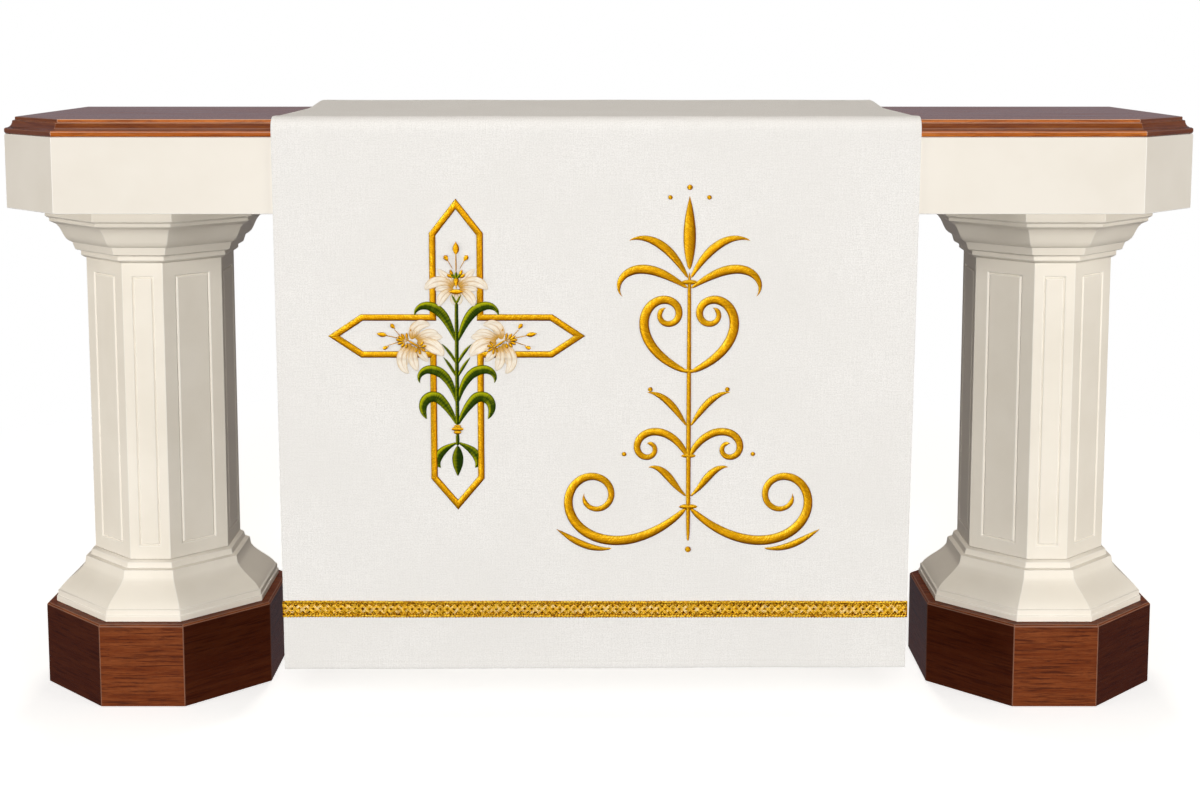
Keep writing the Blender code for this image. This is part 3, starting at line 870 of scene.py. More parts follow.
braid_parts = [braid_row(side, *row) for side in (-1.0, 1.0) for row in BRAID_ROWS]
for aside in (-PLAIT_SPREAD, PLAIT_SPREAD):
    for side in (1.0, -1.0):
        braid_parts.append(lay_plait(
            braid_low.x + PLAIT_END_GAP, braid_high.x - PLAIT_END_GAP, side, aside))
plaits = join_as("gold_braid_cords", braid_parts, make_braid_gold())

bpy.ops.mesh.primitive_cube_add(size=1.0)
ground = bpy.context.object
ground.name = "gold_braid_ground"
bpy.ops.object.mode_set(mode="EDIT")
bpy.ops.mesh.select_mode(type="EDGE")
bpy.ops.mesh.select_all(action="DESELECT")
bpy.ops.object.mode_set(mode="OBJECT")
corners = ground.data.vertices
for edge in ground.data.edges:
    edge.select = corners[edge.vertices[0]].co.x != corners[edge.vertices[1]].co.x
bpy.ops.object.mode_set(mode="EDIT")
bpy.ops.mesh.subdivide(number_cuts=GROUND_COLUMNS)
bpy.ops.object.mode_set(mode="OBJECT")
for vert in ground.data.vertices:
    x = between(braid_low.x, braid_high.x, vert.co.x + 0.5)
    z = BRAID_MIDDLE + vert.co.z * 2.0 * (BRAID_HALF - GROUND_INSET)
    out = GROUND_THICKNESS if vert.co.y < 0.0 else 0.0
    vert.co = (x, cloth_front_y(x, z) - BRAID_GAP - out, z)
ground.data.materials.append(make_ground_gold())
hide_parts("gold_braid")
for piece in (plaits, ground):
    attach(piece, "root")


# Cross band. The pointed cross is drawn in a raised band of satin stitch, in gold thread laid
# over a padding cord. The band is mitred where it turns, and its edges sink into the linen.
CROSS_X, CROSS_Z = -0.2276, 0.6440
CROSS = (CROSS_X, CROSS_Z)
UPRIGHT_HALF, ARM_HALF = 0.0432, 0.0353
TOP_SHOULDER, TOP_POINT = 0.1659, 0.2212
FOOT_SHOULDER, FOOT_POINT = 0.2336, 0.2850
SIDE_SHOULDER, SIDE_POINT = 0.1533, 0.2064
BAND_WIDTH = 0.0107
BAND_EDGE, BAND_CROWN = 0.0005, 0.0016
BAND_STEP = 0.0013
MITRE_DIP, MITRE_REACH = 0.35, 0.0030
UNDERSIDE = 0.0001
# Where the painted light on the gold and green thread comes from: up and to the left
LIT_SIDE, LIT_UP = -0.62, 0.78


def cross_corners():
    """The cross outline, clockwise from its top point."""
    right = [
        (0.0, TOP_POINT), (UPRIGHT_HALF, TOP_SHOULDER), (UPRIGHT_HALF, ARM_HALF),
        (SIDE_SHOULDER, ARM_HALF), (SIDE_POINT, 0.0), (SIDE_SHOULDER, -ARM_HALF),
        (UPRIGHT_HALF, -ARM_HALF), (UPRIGHT_HALF, -FOOT_SHOULDER), (0.0, -FOOT_POINT),
    ]
    left = [(-x, z) for x, z in reversed(right[1:-1])]
    return [(CROSS_X + x, CROSS_Z + z) for x, z in right + left]


def side_directions(corners):
    """The unit direction of each side, from its corner to the next one."""
    return [toward(corner, after)[1] for corner, after in zip(corners, corners[1:] + corners[:1])]


def inset_corners(corners, width):
    """The corners of the same outline, moved inwards by a width on every side."""
    directions = side_directions(corners)
    moved = []
    for i, (x, z) in enumerate(corners):
        (ax, az), (bx, bz) = directions[i - 1], directions[i]
        scale = width / (1.0 + ax * bx + az * bz)
        moved.append((x + (az + bz) * scale, z - (ax + bx) * scale))
    return moved


outer_corners = cross_corners()
inner_corners = inset_corners(outer_corners, BAND_WIDTH)
band_middle = inset_corners(outer_corners, BAND_WIDTH / 2.0)
band_rings = []
band_way = 0.0
for i, (dx, dz) in enumerate(side_directions(outer_corners)):
    j = (i + 1) % len(outer_corners)
    side_length = math.dist(band_middle[i], band_middle[j])
    steps = math.ceil(side_length / BAND_STEP)
    for step in range(steps):
        share = step / steps
        outer = [between(a, b, share) for a, b in zip(outer_corners[i], outer_corners[j])]
        inner = [between(a, b, share) for a, b in zip(inner_corners[i], inner_corners[j])]
        near = min(share, 1.0 - share) * side_length
        low = 1.0 - MITRE_DIP * math.exp(-(near / MITRE_REACH) ** 2)
        band_rings.append((outer, inner, band_way + share * side_length, low, -dz * LIT_SIDE + dx * LIT_UP))
    band_way += side_length


def band_place(ring, across, over):
    outer, inner, way, low, lit = band_rings[ring % len(band_rings)]
    x, z = (between(a, b, (across + 1.0) / 2.0) for a, b in zip(inner, outer))
    rise = BAND_EDGE + BAND_CROWN * low * over if over >= 0.0 else UNDERSIDE
    return x, z, rise, way, way / band_way, across * lit, MIDDLE_TONE


cross_band = join_as("cross_band_stitching", [lay_stroke(len(band_rings), band_place)], gold_thread)
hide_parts("cross_band")
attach(cross_band, "root")


# Stem and leaves. One green stem climbs the cross and carries three pairs of arching leaves
# and two pairs of small ones. A gold collar, two more leaves and a bud end it below. All but
# the collar is satin stitch in two greens.
THREAD_LIFT = 0.0004
LEAF_CROWN, LEAF_VEIN = 0.0011, 0.0004
COLLAR_CROWN, COLLAR_LIFT = 0.0018, 0.0014
STROKE_STEP, SMALL_STEP = 0.0014, 0.0010
LAYER_TOP = BAND_EDGE + BAND_CROWN
LAYER_EASE = 0.0070
BAND_TOP_SHARE = 0.35
END_EASE, LEAST_EASE = 0.12, 0.04
VEIN_SPREAD = 0.22
NARROW_POWER = 0.7
RIB_PITCH = 0.0036
PATH_STEPS, WIDTH_SAMPLES, LEAST_RINGS = 64, 32, 8
GREEN_DARK = (0.012, 0.030, 0.0008, 1.0)
GREEN_BODY = (0.080, 0.130, 0.002, 1.0)
GREEN_LIGHT = (0.420, 0.430, 0.004, 1.0)

# Leaves of the right side: start across and up from the cross middle, heading, length, bend,
# curl, half width, fullest share, bluntness, half width at the start, and whether it crosses
# the band
LEAVES = (
    (0.0012, -0.0095, 70.0, 0.1075, -10.0, -152.0, 0.0079, 0.55, 0.85, 0.0016, True),
    (0.0012, -0.0445, 64.0, 0.0400, -20.0, 0.0, 0.0026, 0.45, 0.85, 0.0016, True),
    (0.0012, -0.0660, 64.0, 0.0380, -14.0, 0.0, 0.0026, 0.45, 0.85, 0.0016, True),
    (0.0012, -0.1090, 79.0, 0.1080, -40.0, -160.0, 0.0077, 0.56, 0.85, 0.0016, True),
    (0.0008, -0.1740, -24.0, 0.0590, -18.0, -106.0, 0.0070, 0.60, 0.80, 0.0014, False),
)

# The hooked leaf rises from the stem, and turns over at its end. Its outline is its half width,
# fullest share, bluntness and half width at the start
HOOKED_RISE = dict(across=0.0012, up=-0.1450, heading=70.0, length=0.0500, bend=-24.0, steps=50)
HOOK_TURN = dict(length=0.0600, bend=-230.0, curl=62.0, steps=60)
HOOKED_OUTLINE = (0.0084, 0.58, 0.7, 0.0016)

# Stem, foot, bud, calyx and style, which start on the middle line: up, heading, length, half
# width, fullest share, bluntness, half widths at both ends, crown, vein, lift and tone
MIDDLE_GREENS = (
    (0.0570, -90.0, 0.2020, 0.0032, 0.60, 0.15, 0.0022, 0.0026, 0.0010, 0.0, 0.0004, 0.30),
    (-0.1590, -90.0, 0.0200, 0.0030, 0.50, 0.15, 0.0, 0.0, 0.0010, 0.0, 0.0004, 0.30),
    (-0.1785, -90.0, 0.0510, 0.0090, 0.45, 0.90, 0.0, 0.0, 0.0011, 0.0004, 0.0004, 0.25),
    (0.0530, 62.0, 0.0160, 0.0018, 0.40, 0.70, 0.0012, 0.0, 0.0006, 0.0, 0.0030, 1.10),
    (0.0920, 90.0, 0.0120, 0.0024, 0.60, 0.70, 0.0, 0.0, 0.0006, 0.0, 0.0034, 0.60),
    (0.0920, 48.0, 0.0120, 0.0024, 0.60, 0.70, 0.0, 0.0, 0.0006, 0.0, 0.0034, 0.60),
)

# Rings of the collar: up, length and half width
COLLAR_RINGS = ((-0.1470, 0.0120, 0.0026), (-0.1515, 0.0200, 0.0040), (-0.1570, 0.0130, 0.0034))
RING_FULLEST, RING_BLUNTNESS = 0.5, 0.6


def over_band(x, z):
    """How high a stroke is carried where it crosses the cross band, easing down beside it."""
    near = 1.0
    for (ax, az), after in zip(band_middle, band_middle[1:] + band_middle[:1]):
        size, (dx, dz) = toward((ax, az), after)
        run = min(max((x - ax) * dx + (z - az) * dz, 0.0), size)
        near = min(near, math.dist((x, z), (ax + dx * run, az + dz * run)))
    return LAYER_TOP * (1.0 - eased((near - BAND_WIDTH * BAND_TOP_SHARE) / LAYER_EASE))


def walk(origin, across, up, heading, length, bend=0.0, curl=0.0, steps=PATH_STEPS):
    """A path of places and headings, which starts across and up from an origin. It turns
    evenly by its bend, in degrees, and by its curl mostly near the end."""
    def angle_at(share):
        return math.radians(heading + bend * share + curl * share ** 3)

    x, z = origin[0] + across, origin[1] + up
    path = [(x, z, angle_at(0.0))]
    for step in range(steps):
        angle = angle_at((step + 0.5) / steps)
        x += math.cos(angle) * length / steps
        z += math.sin(angle) * length / steps
        path.append((x, z, angle_at((step + 1.0) / steps)))
    return path


def path_place(path, share):
    place = min(max(share, 0.0), 1.0) * (len(path) - 1)
    step = min(int(place), len(path) - 2)
    return [between(a, b, place - step) for a, b in zip(path[step], path[step + 1])]


def swell(widest, fullest, bluntness, start=0.0, end=0.0):
    """Half the width of a stroke at a share of its length: widest at the fullest share, and
    down to its start and end widths. A bluntness under 1 fills it out towards the ends."""
    power = math.log(0.5) / math.log(fullest)

    def half_width(share):
        share = min(max(share, 0.0), 1.0)
        body = max(math.sin(math.pi * share ** power), 0.0) ** bluntness
        least = between(start, end, share) * eased(min(share, 1.0 - share) / LEAST_EASE)
        return between(least, widest, body)
    return half_width


def sew(path, half_width, crown, lift=THREAD_LIFT, vein=0.0, slant=0.0, ribs=0.0,
        step=STROKE_STEP, tone=MIDDLE_TONE, covers_band=False):
    """Lay out one stroke along a path, domed across, with an optional groove along its
    middle, and ribs where its threads lie at a slant."""
    length = sum(math.dist(a[:2], b[:2]) for a, b in zip(path, path[1:]))
    rings = max(round(length / step), LEAST_RINGS)
    widest = max(half_width(i / WIDTH_SAMPLES) for i in range(WIDTH_SAMPLES + 1))

    def place(ring, across, over):
        share = ring / rings
        ends = eased(min(share, 1.0 - share) / END_EASE)
        there = share + across * widest * math.tan(slant) * ends / length
        there = min(max(there, 0.0), 1.0)
        x, z, angle = path_place(path, there)
        reach = half_width(there)
        x -= math.sin(angle) * reach * across
        z += math.cos(angle) * reach * across
        full = reach / widest
        rise = 0.0
        if over >= 0.0:
            dome = crown * over - vein * math.exp(-(across / VEIN_SPREAD) ** 2)
            rise = lift + dome * full ** NARROW_POWER
            rise += ribs * over * math.cos(math.tau * share * length / RIB_PITCH)
            if covers_band:
                rise += over_band(x, z)
            rise *= min(full / END_EASE, 1.0)
        # How far this side of the stroke faces the painted light
        lit = across * (-math.sin(angle) * LIT_SIDE + math.cos(angle) * LIT_UP)
        return x, z, UNDERSIDE + max(rise, 0.0), share * length, share, lit, tone
    return lay_stroke(rings, place)


def sew_both(path, axis, half_width, crown, **settings):
    """Sew a stroke and its mirror image, or the stroke alone where it is its own mirror image."""
    routes = [path]
    if abs(path[0][0] + path[-1][0] - 2.0 * axis) > SAME_PLACE:
        routes.append([(2.0 * axis - x, z, math.pi - angle) for x, z, angle in path])
    return [sew(route, half_width, crown, **settings) for route in routes]


def make_green_thread():
    """A leaf in green thread, with painted light: yellow green where it faces up and left and
    painted dark shade where it faces away, with a dark vein and a dark outline."""
    green = ThreadFinish("green_thread", 0.0009, 0.00010, Roughness=0.60, Specular_IOR_Level=0.03)
    lit, tone = green.mark("lit"), green.mark("tone")
    body = green.total((lit, 0.40), tone, (green.thread_tone, 0.25))
    colour = green.mix(green.stretch(body, 0.35, 0.95), GREEN_DARK, GREEN_BODY)
    bright = green.stretch(green.total(lit, (green.edge, 0.35), (green.thread_tone, 0.30)), 0.15, 0.95)
    bright = green.times(bright, green.stretch(tone, 0.0, 0.5, 0.1, 1.0))
    colour = green.mix(bright, colour, GREEN_LIGHT)
    vein = green.stretch(green.edge, 0.20, 0.04, 0.0, 0.6)
    rim = green.stretch(green.edge, 0.72, 0.96, 0.0, 0.9)
    green.feed(Base_Color=green.mix(green.reckon("MAXIMUM", vein, rim), colour, GREEN_DARK))
    return green.material


leaf_strokes = []
for across, up, heading, length, bend, curl, half, fullest, bluntness, start, crosses in LEAVES:
    leaf_strokes += sew_both(
        walk(CROSS, across, up, heading, length, bend, curl), CROSS_X,
        swell(half, fullest, bluntness, start), LEAF_CROWN, vein=LEAF_VEIN, covers_band=crosses)
hooked = walk(CROSS, **HOOKED_RISE)
hooked += walk(hooked[-1][:2], 0.0, 0.0, math.degrees(hooked[-1][2]), **HOOK_TURN)[1:]
leaf_strokes += sew_both(
    hooked, CROSS_X, swell(*HOOKED_OUTLINE), LEAF_CROWN, vein=LEAF_VEIN, covers_band=True)
for up, heading, length, half, fullest, bluntness, start, end, crown, vein, lift, tone in MIDDLE_GREENS:
    leaf_strokes += sew_both(
        walk(CROSS, 0.0, up, heading, length), CROSS_X, swell(half, fullest, bluntness, start, end),
        crown, lift=lift, vein=vein, tone=tone)
leaves = join_as("stem_and_leaves", leaf_strokes, make_green_thread())
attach(leaves, "root")

collar = join_as("gold_collar", [
    sew(walk(CROSS, -length / 2.0, up, 0.0, length), swell(half, RING_FULLEST, RING_BLUNTNESS),
        COLLAR_CROWN, lift=COLLAR_LIFT, step=SMALL_STEP)
    for up, length, half in COLLAR_RINGS], gold_thread)
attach(collar, "root")


# Lilies. Three white lilies stand at the head of the stem and on both sides of it. Their
# petals are long and short satin stitch in cream thread shaded with tan, laid over each
# other, and their hearts, anthers and stamens are gold thread.
PETAL_CROWN, PETAL_VEIN, PETAL_LAYER = 0.0011, 0.0007, 0.0005
PETAL_BLUNTNESS, PETAL_START = 0.70, 0.0020
HEART_CROWN = 0.0009
STAMEN_HALF, STAMEN_LAYERS, ANTHER_LAYERS = 0.0009, 0.7, 5.0
GOLD_PATH_STEPS = 24
TOP_HEART = (CROSS_X, CROSS_Z + 0.0781)
SIDE_HEART = (CROSS_X - 0.0672, CROSS_Z - 0.0115)
CREAM_THREAD = (0.930, 0.860, 0.745, 1.0)
BLUSH_THREAD = (0.760, 0.560, 0.310, 1.0)
AMBER_THREAD = (0.640, 0.340, 0.040, 1.0)
TAN_THREAD = (0.460, 0.230, 0.035, 1.0)

# Petals of the left half of the top lily, then of the left lily, lowest layer first: start
# across and up from the heart, heading, length, bend, half width, fullest share and layer
TOP_PETALS = (
    (-0.0010, -0.0050, 256.0, 0.0230, 10.0, 0.0066, 0.55, 0),
    (-0.0040, 0.0040, 108.0, 0.0230, 12.0, 0.0060, 0.50, 0),
    (-0.0050, 0.0000, 168.0, 0.0300, 40.0, 0.0062, 0.55, 0),
    (-0.0035, 0.0020, 129.0, 0.0390, 8.0, 0.0064, 0.42, 1),
    (-0.0040, -0.0030, 192.0, 0.0390, 74.0, 0.0074, 0.55, 2),
    (-0.0040, 0.0010, 131.0, 0.0540, 110.0, 0.0084, 0.58, 3),
)
SIDE_PETALS = (
    (-0.0100, 0.0040, 148.0, 0.0200, 30.0, 0.0062, 0.55, 0),
    (-0.0040, -0.0040, -132.0, 0.0360, 50.0, 0.0064, 0.55, 0),
    (0.0040, -0.0060, -62.0, 0.0300, 16.0, 0.0064, 0.50, 0),
    (0.0040, 0.0030, 30.0, 0.0420, -44.0, 0.0084, 0.52, 0),
    (-0.0020, 0.0080, 76.0, 0.0300, -30.0, 0.0060, 0.55, 0),
    (0.0016, 0.0060, 50.0, 0.0400, -72.0, 0.0060, 0.62, 1),
    (-0.0030, 0.0060, 108.0, 0.0460, -138.0, 0.0086, 0.52, 2),
    (-0.0006, -0.0050, -110.0, 0.0420, 56.0, 0.0078, 0.52, 2),
    (-0.0052, -0.0020, -155.0, 0.0570, 118.0, 0.0084, 0.52, 3),
    (0.0032, 0.0000, 10.0, 0.0510, -74.0, 0.0108, 0.52, 3),
)

# Gold stitches in the same order: start across and up, heading, length, bend, half width,
# fullest share and bluntness
TOP_GOLD = (
    (0.0000, -0.0030, 90.0, 0.0210, 0.0, 0.0044, 0.72, 0.8),
    (-0.0115, -0.0062, 0.0, 0.0230, 0.0, 0.0042, 0.50, 0.9),
    (-0.0040, 0.0170, 116.0, 0.0135, 0.0, 0.0026, 0.60, 0.8),
    (-0.0048, 0.0160, 150.0, 0.0115, 0.0, 0.0028, 0.60, 0.8),
    (0.0000, 0.0200, 90.0, 0.0360, 0.0, 0.0010, 0.50, 0.3),
    (0.0000, 0.0530, 90.0, 0.0215, 0.0, 0.0054, 0.46, 1.1),
    (-0.0055, 0.0300, 118.0, 0.0160, 4.0, 0.0006, 0.50, 0.3),
    (-0.0118, 0.0420, 124.0, 0.0125, 0.0, 0.0040, 0.66, 0.8),
)
SIDE_GOLD = (
    (-0.0110, 0.0050, -32.0, 0.0240, 0.0, 0.0018, 0.50, 0.5),
    (-0.0120, 0.0060, 96.0, 0.0110, 0.0, 0.0022, 0.60, 0.7),
    (-0.0150, 0.0055, 122.0, 0.0120, 0.0, 0.0024, 0.60, 0.7),
    (-0.0165, 0.0050, 148.0, 0.0125, 0.0, 0.0024, 0.60, 0.7),
    (-0.0175, 0.0045, 174.0, 0.0130, 0.0, 0.0024, 0.60, 0.7),
    (-0.0165, 0.0030, 202.0, 0.0125, 0.0, 0.0024, 0.60, 0.7),
    (-0.0150, 0.0020, 230.0, 0.0115, 0.0, 0.0024, 0.60, 0.7),
    (-0.0120, 0.0010, 258.0, 0.0100, 0.0, 0.0022, 0.60, 0.7),
    (0.0080, -0.0050, 52.0, 0.0105, 0.0, 0.0021, 0.60, 0.6),
    (0.0085, -0.0060, 12.0, 0.0110, 0.0, 0.0022, 0.60, 0.6),
    (0.0085, -0.0070, -34.0, 0.0110, 0.0, 0.0022, 0.60, 0.6),
    (0.0070, -0.0080, -78.0, 0.0105, 0.0, 0.0022, 0.60, 0.6),
    (0.0050, -0.0075, -118.0, 0.0085, 0.0, 0.0018, 0.60, 0.6),
    (-0.0250, 0.0075, 164.0, 0.0210, 6.0, 0.0007, 0.50, 0.3),
    (-0.0440, 0.0128, 170.0, 0.0175, 0.0, 0.0038, 0.45, 1.0),
    (-0.0220, 0.0100, 128.0, 0.0170, 8.0, 0.0006, 0.50, 0.3),
    (-0.0310, 0.0235, 134.0, 0.0110, 0.0, 0.0034, 0.60, 0.8),
    (-0.0240, 0.0030, 203.0, 0.0210, -8.0, 0.0006, 0.50, 0.3),
    (-0.0415, -0.0050, 200.0, 0.0110, 0.0, 0.0030, 0.60, 0.8),
    (-0.0066, 0.0190, 80.0, 0.0045, 0.0, 0.0010, 0.50, 0.5),
)


def make_petal_thread():
    """Cream thread along each petal, blushed towards its base and edge, tan in its vein."""
    petal = ThreadFinish("petal_thread", 0.15, 0.00016, "Y", Roughness=0.55, Specular_IOR_Level=0.2)
    way, share = petal.parts["X"], petal.parts["Z"]
    place = petal.node("CombineXYZ", {
        "X": petal.times(petal.parts["Y"], 5.0), "Y": petal.times(way, 70.0)}).outputs[0]
    streak = petal.speckle(place, 1.6, 4.0, 0.65)
    blush = petal.total(
        petal.stretch(share, 0.60, 0.1, 0.0, 0.6), petal.stretch(petal.edge, 0.55, 1.0, 0.0, 0.5),
        petal.stretch(streak, 0.42, 0.66, -0.25, 0.80))
    colour = petal.mix(blush, CREAM_THREAD, BLUSH_THREAD)
    base = petal.total(share, petal.stretch(streak, 0.35, 0.65, 0.12, -0.12))
    colour = petal.mix(petal.stretch(base, 0.34, 0.10), colour, AMBER_THREAD)
    vein = petal.stretch(petal.total(petal.edge, (share, 0.20)), 0.26, 0.08, 0.0, 0.7)
    rim = petal.stretch(petal.edge, 0.88, 1.0, 0.0, 0.45)
    petal.feed(Base_Color=petal.mix(petal.reckon("MAXIMUM", vein, rim), colour, TAN_THREAD))
    return petal.material


def sew_petals(heart, rows):
    strokes = []
    for across, up, heading, length, bend, half, fullest, layer in rows:
        strokes += sew_both(
            walk(heart, across, up, heading, length, bend), CROSS_X,
            swell(half, fullest, PETAL_BLUNTNESS, PETAL_START), PETAL_CROWN,
            lift=THREAD_LIFT + PETAL_LAYER * layer, vein=PETAL_VEIN, covers_band=True)
    return strokes


def sew_gold(heart, rows):
    """The thin stamens lie low among the petals, and all other gold over them."""
    strokes = []
    for across, up, heading, length, bend, half, fullest, bluntness in rows:
        layers = ANTHER_LAYERS if half > STAMEN_HALF else STAMEN_LAYERS
        strokes += sew_both(
            walk(heart, across, up, heading, length, bend, steps=GOLD_PATH_STEPS), CROSS_X,
            swell(half, fullest, bluntness), HEART_CROWN,
            lift=THREAD_LIFT + PETAL_LAYER * layers, step=SMALL_STEP, covers_band=True)
    return strokes


petals = join_as("lily_petals", sew_petals(TOP_HEART, TOP_PETALS) + sew_petals(SIDE_HEART, SIDE_PETALS),
                 make_petal_thread())
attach(petals, "root")
lily_gold = join_as("lily_hearts", sew_gold(TOP_HEART, TOP_GOLD) + sew_gold(SIDE_HEART, SIDE_GOLD),
                    gold_thread)
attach(lily_gold, "root")


# Scrollwork. A mirror-symmetric tree of scrolls and leaves fills the right of the cloth, in
# gold satin stitch over padding. Its threads lie at a slant across each thick and thin stroke.
SCROLL_ROOT = (0.1450, 0.2850)
SCROLL_CROWN = 0.0022
SCROLL_SLANT = math.radians(38.0)
SCROLL_RIB = 0.00012
SCROLL_STEP, DOT_STEP = 0.0012, 0.0008
SCROLL_PATH_STEPS = 120

# Strokes of the right half, then strokes on the middle line: start across and up, heading,
# length, bend, curl, half width, fullest share, bluntness, and half widths at both ends
SCROLL_STROKES = (
    (0.002, 0.078, -46.0, 0.430, 116.0, 400.0, 0.0080, 0.34, 0.8, 0.0015, 0.0032),
    (0.124, 0.010, -8.0, 0.098, 70.0, -30.0, 0.0056, 0.50, 0.9, 0.0010, 0.0),
    (0.003, 0.096, 40.0, 0.082, 45.0, -100.0, 0.0062, 0.55, 0.9, 0.0012, 0.0),
    (0.002, 0.162, 66.0, 0.178, -118.0, -330.0, 0.0064, 0.35, 0.8, 0.0015, 0.0030),
    (0.003, 0.212, 58.0, 0.088, -10.0, -50.0, 0.0058, 0.52, 0.9, 0.0012, 0.0),
    (0.002, 0.300, 22.0, 0.270, 92.0, 420.0, 0.0078, 0.36, 0.8, 0.0015, 0.0032),
    (0.002, 0.436, 34.0, 0.150, -20.0, -150.0, 0.0076, 0.48, 0.9, 0.0015, 0.0),
    (0.002, 0.452, 62.0, 0.124, -30.0, -60.0, 0.0070, 0.50, 0.9, 0.0015, 0.0),
    (0.0, 0.022, 90.0, 0.440, 0.0, 0.0, 0.0038, 0.35, 0.35, 0.0010, 0.0020),
    (0.0, 0.466, 90.0, 0.118, 0.0, 0.0, 0.0100, 0.45, 0.9, 0.0012, 0.0),
    (-0.015, 0.079, 0.0, 0.030, 0.0, 0.0, 0.0042, 0.50, 0.5, 0.0, 0.0),
    (-0.012, 0.163, 0.0, 0.024, 0.0, 0.0, 0.0036, 0.50, 0.5, 0.0, 0.0),
    (-0.012, 0.302, 0.0, 0.024, 0.0, 0.0, 0.0036, 0.50, 0.5, 0.0, 0.0),
    (-0.013, 0.446, 0.0, 0.026, 0.0, 0.0, 0.0040, 0.50, 0.5, 0.0, 0.0),
)

# Round dots on the middle line and beside it: across, up and radius
SCROLL_DOTS = (
    (0.0, 0.598, 0.0046), (0.0, 0.008, 0.0050), (0.031, 0.582, 0.0038), (0.062, 0.272, 0.0040),
    (0.104, 0.166, 0.0038),
)
DOT_FULLEST, DOT_BLUNTNESS = 0.5, 0.5

scroll_strokes = []
for across, up, heading, length, bend, curl, half, fullest, bluntness, start, end in SCROLL_STROKES:
    scroll_strokes += sew_both(
        walk(SCROLL_ROOT, across, up, heading, length, bend, curl, SCROLL_PATH_STEPS), SCROLL_ROOT[0],
        swell(half, fullest, bluntness, start, end), SCROLL_CROWN,
        slant=SCROLL_SLANT, ribs=SCROLL_RIB, step=SCROLL_STEP)
for across, up, radius in SCROLL_DOTS:
    scroll_strokes += sew_both(
        walk(SCROLL_ROOT, across, up - radius, 90.0, 2.0 * radius), SCROLL_ROOT[0],
        swell(radius, DOT_FULLEST, DOT_BLUNTNESS), SCROLL_CROWN, step=DOT_STEP)
scrollwork = join_as("gold_scrollwork", scroll_strokes, gold_thread)
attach(scrollwork, "root")


# Floor, light and camera. The table stands on a plain white floor in a white studio. A low
# and a high soft light stand before it, weak ones at its sides and above it, and two behind
# it, which its varnish doesn't mirror.
FLOOR_HALF, FLOOR_DROP = 30.0, 0.0005
FLOOR_NEAR, FLOOR_FAR = 1.15, 2.60
FLOOR_PAINT = (0.80, 0.80, 0.80, 1.0)
FLOOR_GLOW = (0.62, 0.62, 0.62, 1.0)
STUDIO_SHADE = (0.056, 0.047, 0.036, 1.0)
STUDIO_GLOSS = (0.238, 0.226, 0.258, 1.0)
STUDIO_WHITE = (1.0, 1.0, 1.0, 1.0)
UNLIT = (0.0, 0.0, 0.0, 1.0)
FRONT_WHITE = (1.0, 1.0, 1.0)
SIDE_WARMTH = (1.0, 0.975, 0.925)
BACK_WARMTH = (1.0, 0.945, 0.865)
FRAME_WIDTH_PX = 1200.0
FOCAL_PX = 1821.7
CAMERA_BACK = 3.172
CAMERA_HEIGHT = 1.120
CAMERA_TILT = 6.73
CAMERA_SHIFT_X, CAMERA_SHIFT_Y = 0.0011, -0.12
SENSOR = 36.0

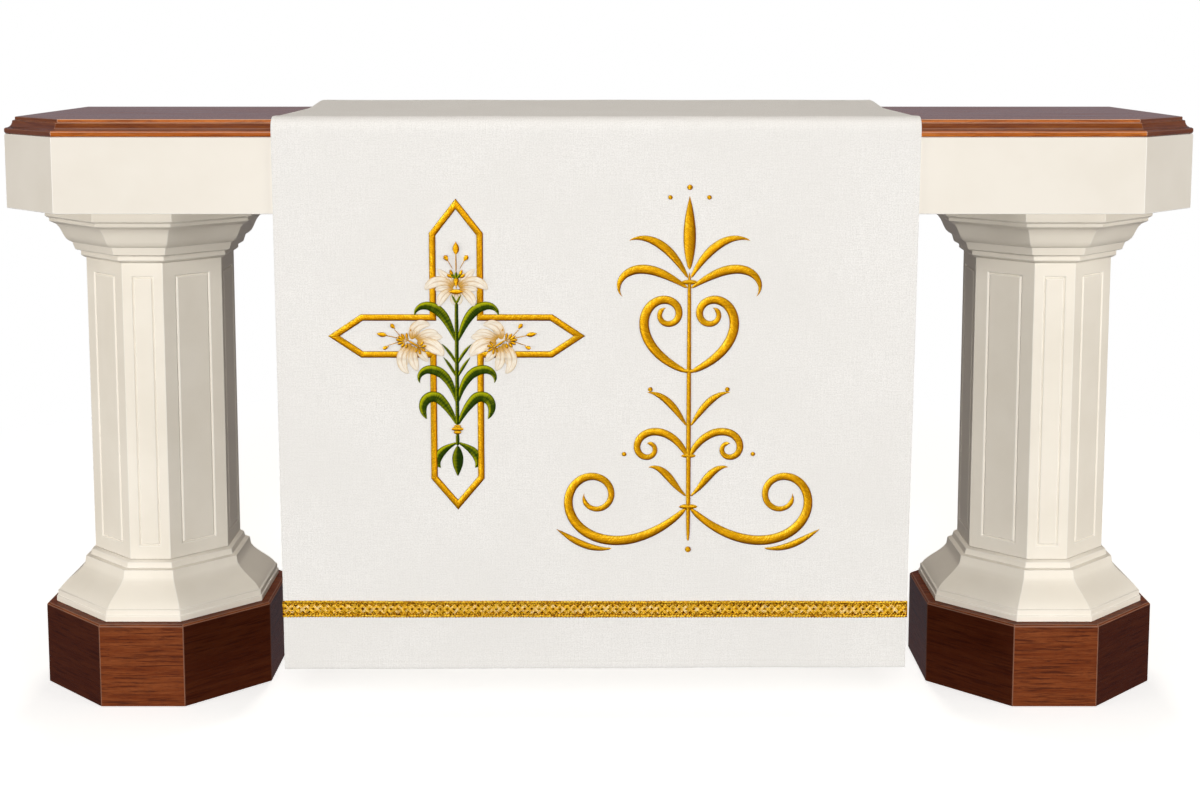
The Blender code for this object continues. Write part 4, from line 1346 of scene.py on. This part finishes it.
# Soft lights: name, place, aim, size, power, colour and whether varnish mirrors it
TABLE_MIDDLE = (0.0, 0.0, 0.5)
SOFT_LIGHTS = (
    ("front_light", (0.0, -9.5, 0.35), TABLE_MIDDLE, (3.0, 0.6), 400.0, FRONT_WHITE, True),
    ("high_light", (0.0, -9.5, 5.2), TABLE_MIDDLE, (2.4, 2.4), 322.0, FRONT_WHITE, True),
    ("left_light", (-3.9, -2.2, 0.50), TABLE_MIDDLE, (1.6, 0.9), 50.0, SIDE_WARMTH, True),
    ("right_light", (3.9, -2.2, 0.50), TABLE_MIDDLE, (1.6, 0.9), 52.0, SIDE_WARMTH, True),
    ("top_light", (0.0, -0.5, 3.6), (0.0, -0.1, 0.9), (4.0, 1.6), 36.0, BACK_WARMTH, True),
    ("low_back_light", (0.0, 10.0, 0.5), TABLE_MIDDLE, (2.0, 0.9), 110.0, BACK_WARMTH, False),
    ("high_back_light", (0.0, 8.2, 6.4), TABLE_MIDDLE, (2.4, 2.4), 330.0, BACK_WARMTH, False),
)

bpy.ops.mesh.primitive_plane_add(size=2.0 * FLOOR_HALF, location=(0.0, 0.0, -FLOOR_DROP))
floor = bpy.context.object
floor.name = "studio_floor"
floor_finish = Finish("studio_floor", Roughness=1.0, Specular_IOR_Level=0.0, Emission_Strength=1.0)
out = floor_finish.node("VectorMath", {0: own_place(floor_finish)}, operation="LENGTH").outputs["Value"]
away = floor_finish.stretch(out, FLOOR_NEAR, FLOOR_FAR)
floor_finish.feed(Base_Color=floor_finish.mix(away, FLOOR_PAINT, UNLIT),
                  Emission_Color=floor_finish.mix(away, FLOOR_GLOW, STUDIO_WHITE))
floor.data.materials.append(floor_finish.material)
floor.visible_diffuse = False
floor.visible_glossy = False

world = bpy.data.worlds.new("studio")
bpy.context.scene.world = world
world.use_nodes = True
studio = Shading(world.node_tree)
rays = studio.node("LightPath").outputs
around = studio.mix(rays["Is Glossy Ray"], STUDIO_SHADE, STUDIO_GLOSS)
around = studio.mix(rays["Is Camera Ray"], around, STUDIO_WHITE)
studio.give(studio.tree.nodes["Background"].inputs["Color"], around)

for name, place, aim, size, power, colour, mirrored in SOFT_LIGHTS:
    bpy.ops.object.light_add(type="AREA", location=place)
    lamp = bpy.context.object
    lamp.name = name
    lamp.data.shape = "RECTANGLE"
    lamp.data.size, lamp.data.size_y = size
    lamp.data.energy = power
    lamp.data.color = colour
    lamp.rotation_euler = (Vector(aim) - Vector(place)).to_track_quat("-Z", "Y").to_euler()
    lamp.visible_glossy = mirrored

bpy.ops.object.camera_add(
    location=(0.0, -CAMERA_BACK, CAMERA_HEIGHT),
    rotation=(math.radians(90.0 - CAMERA_TILT), 0.0, 0.0))
camera = bpy.context.object
camera.name = "camera"
camera.data.sensor_width = SENSOR
camera.data.lens = SENSOR * FOCAL_PX / FRAME_WIDTH_PX
camera.data.shift_x = CAMERA_SHIFT_X
camera.data.shift_y = CAMERA_SHIFT_Y
bpy.context.scene.camera = camera
bpy.context.scene.view_settings.view_transform = "Standard"
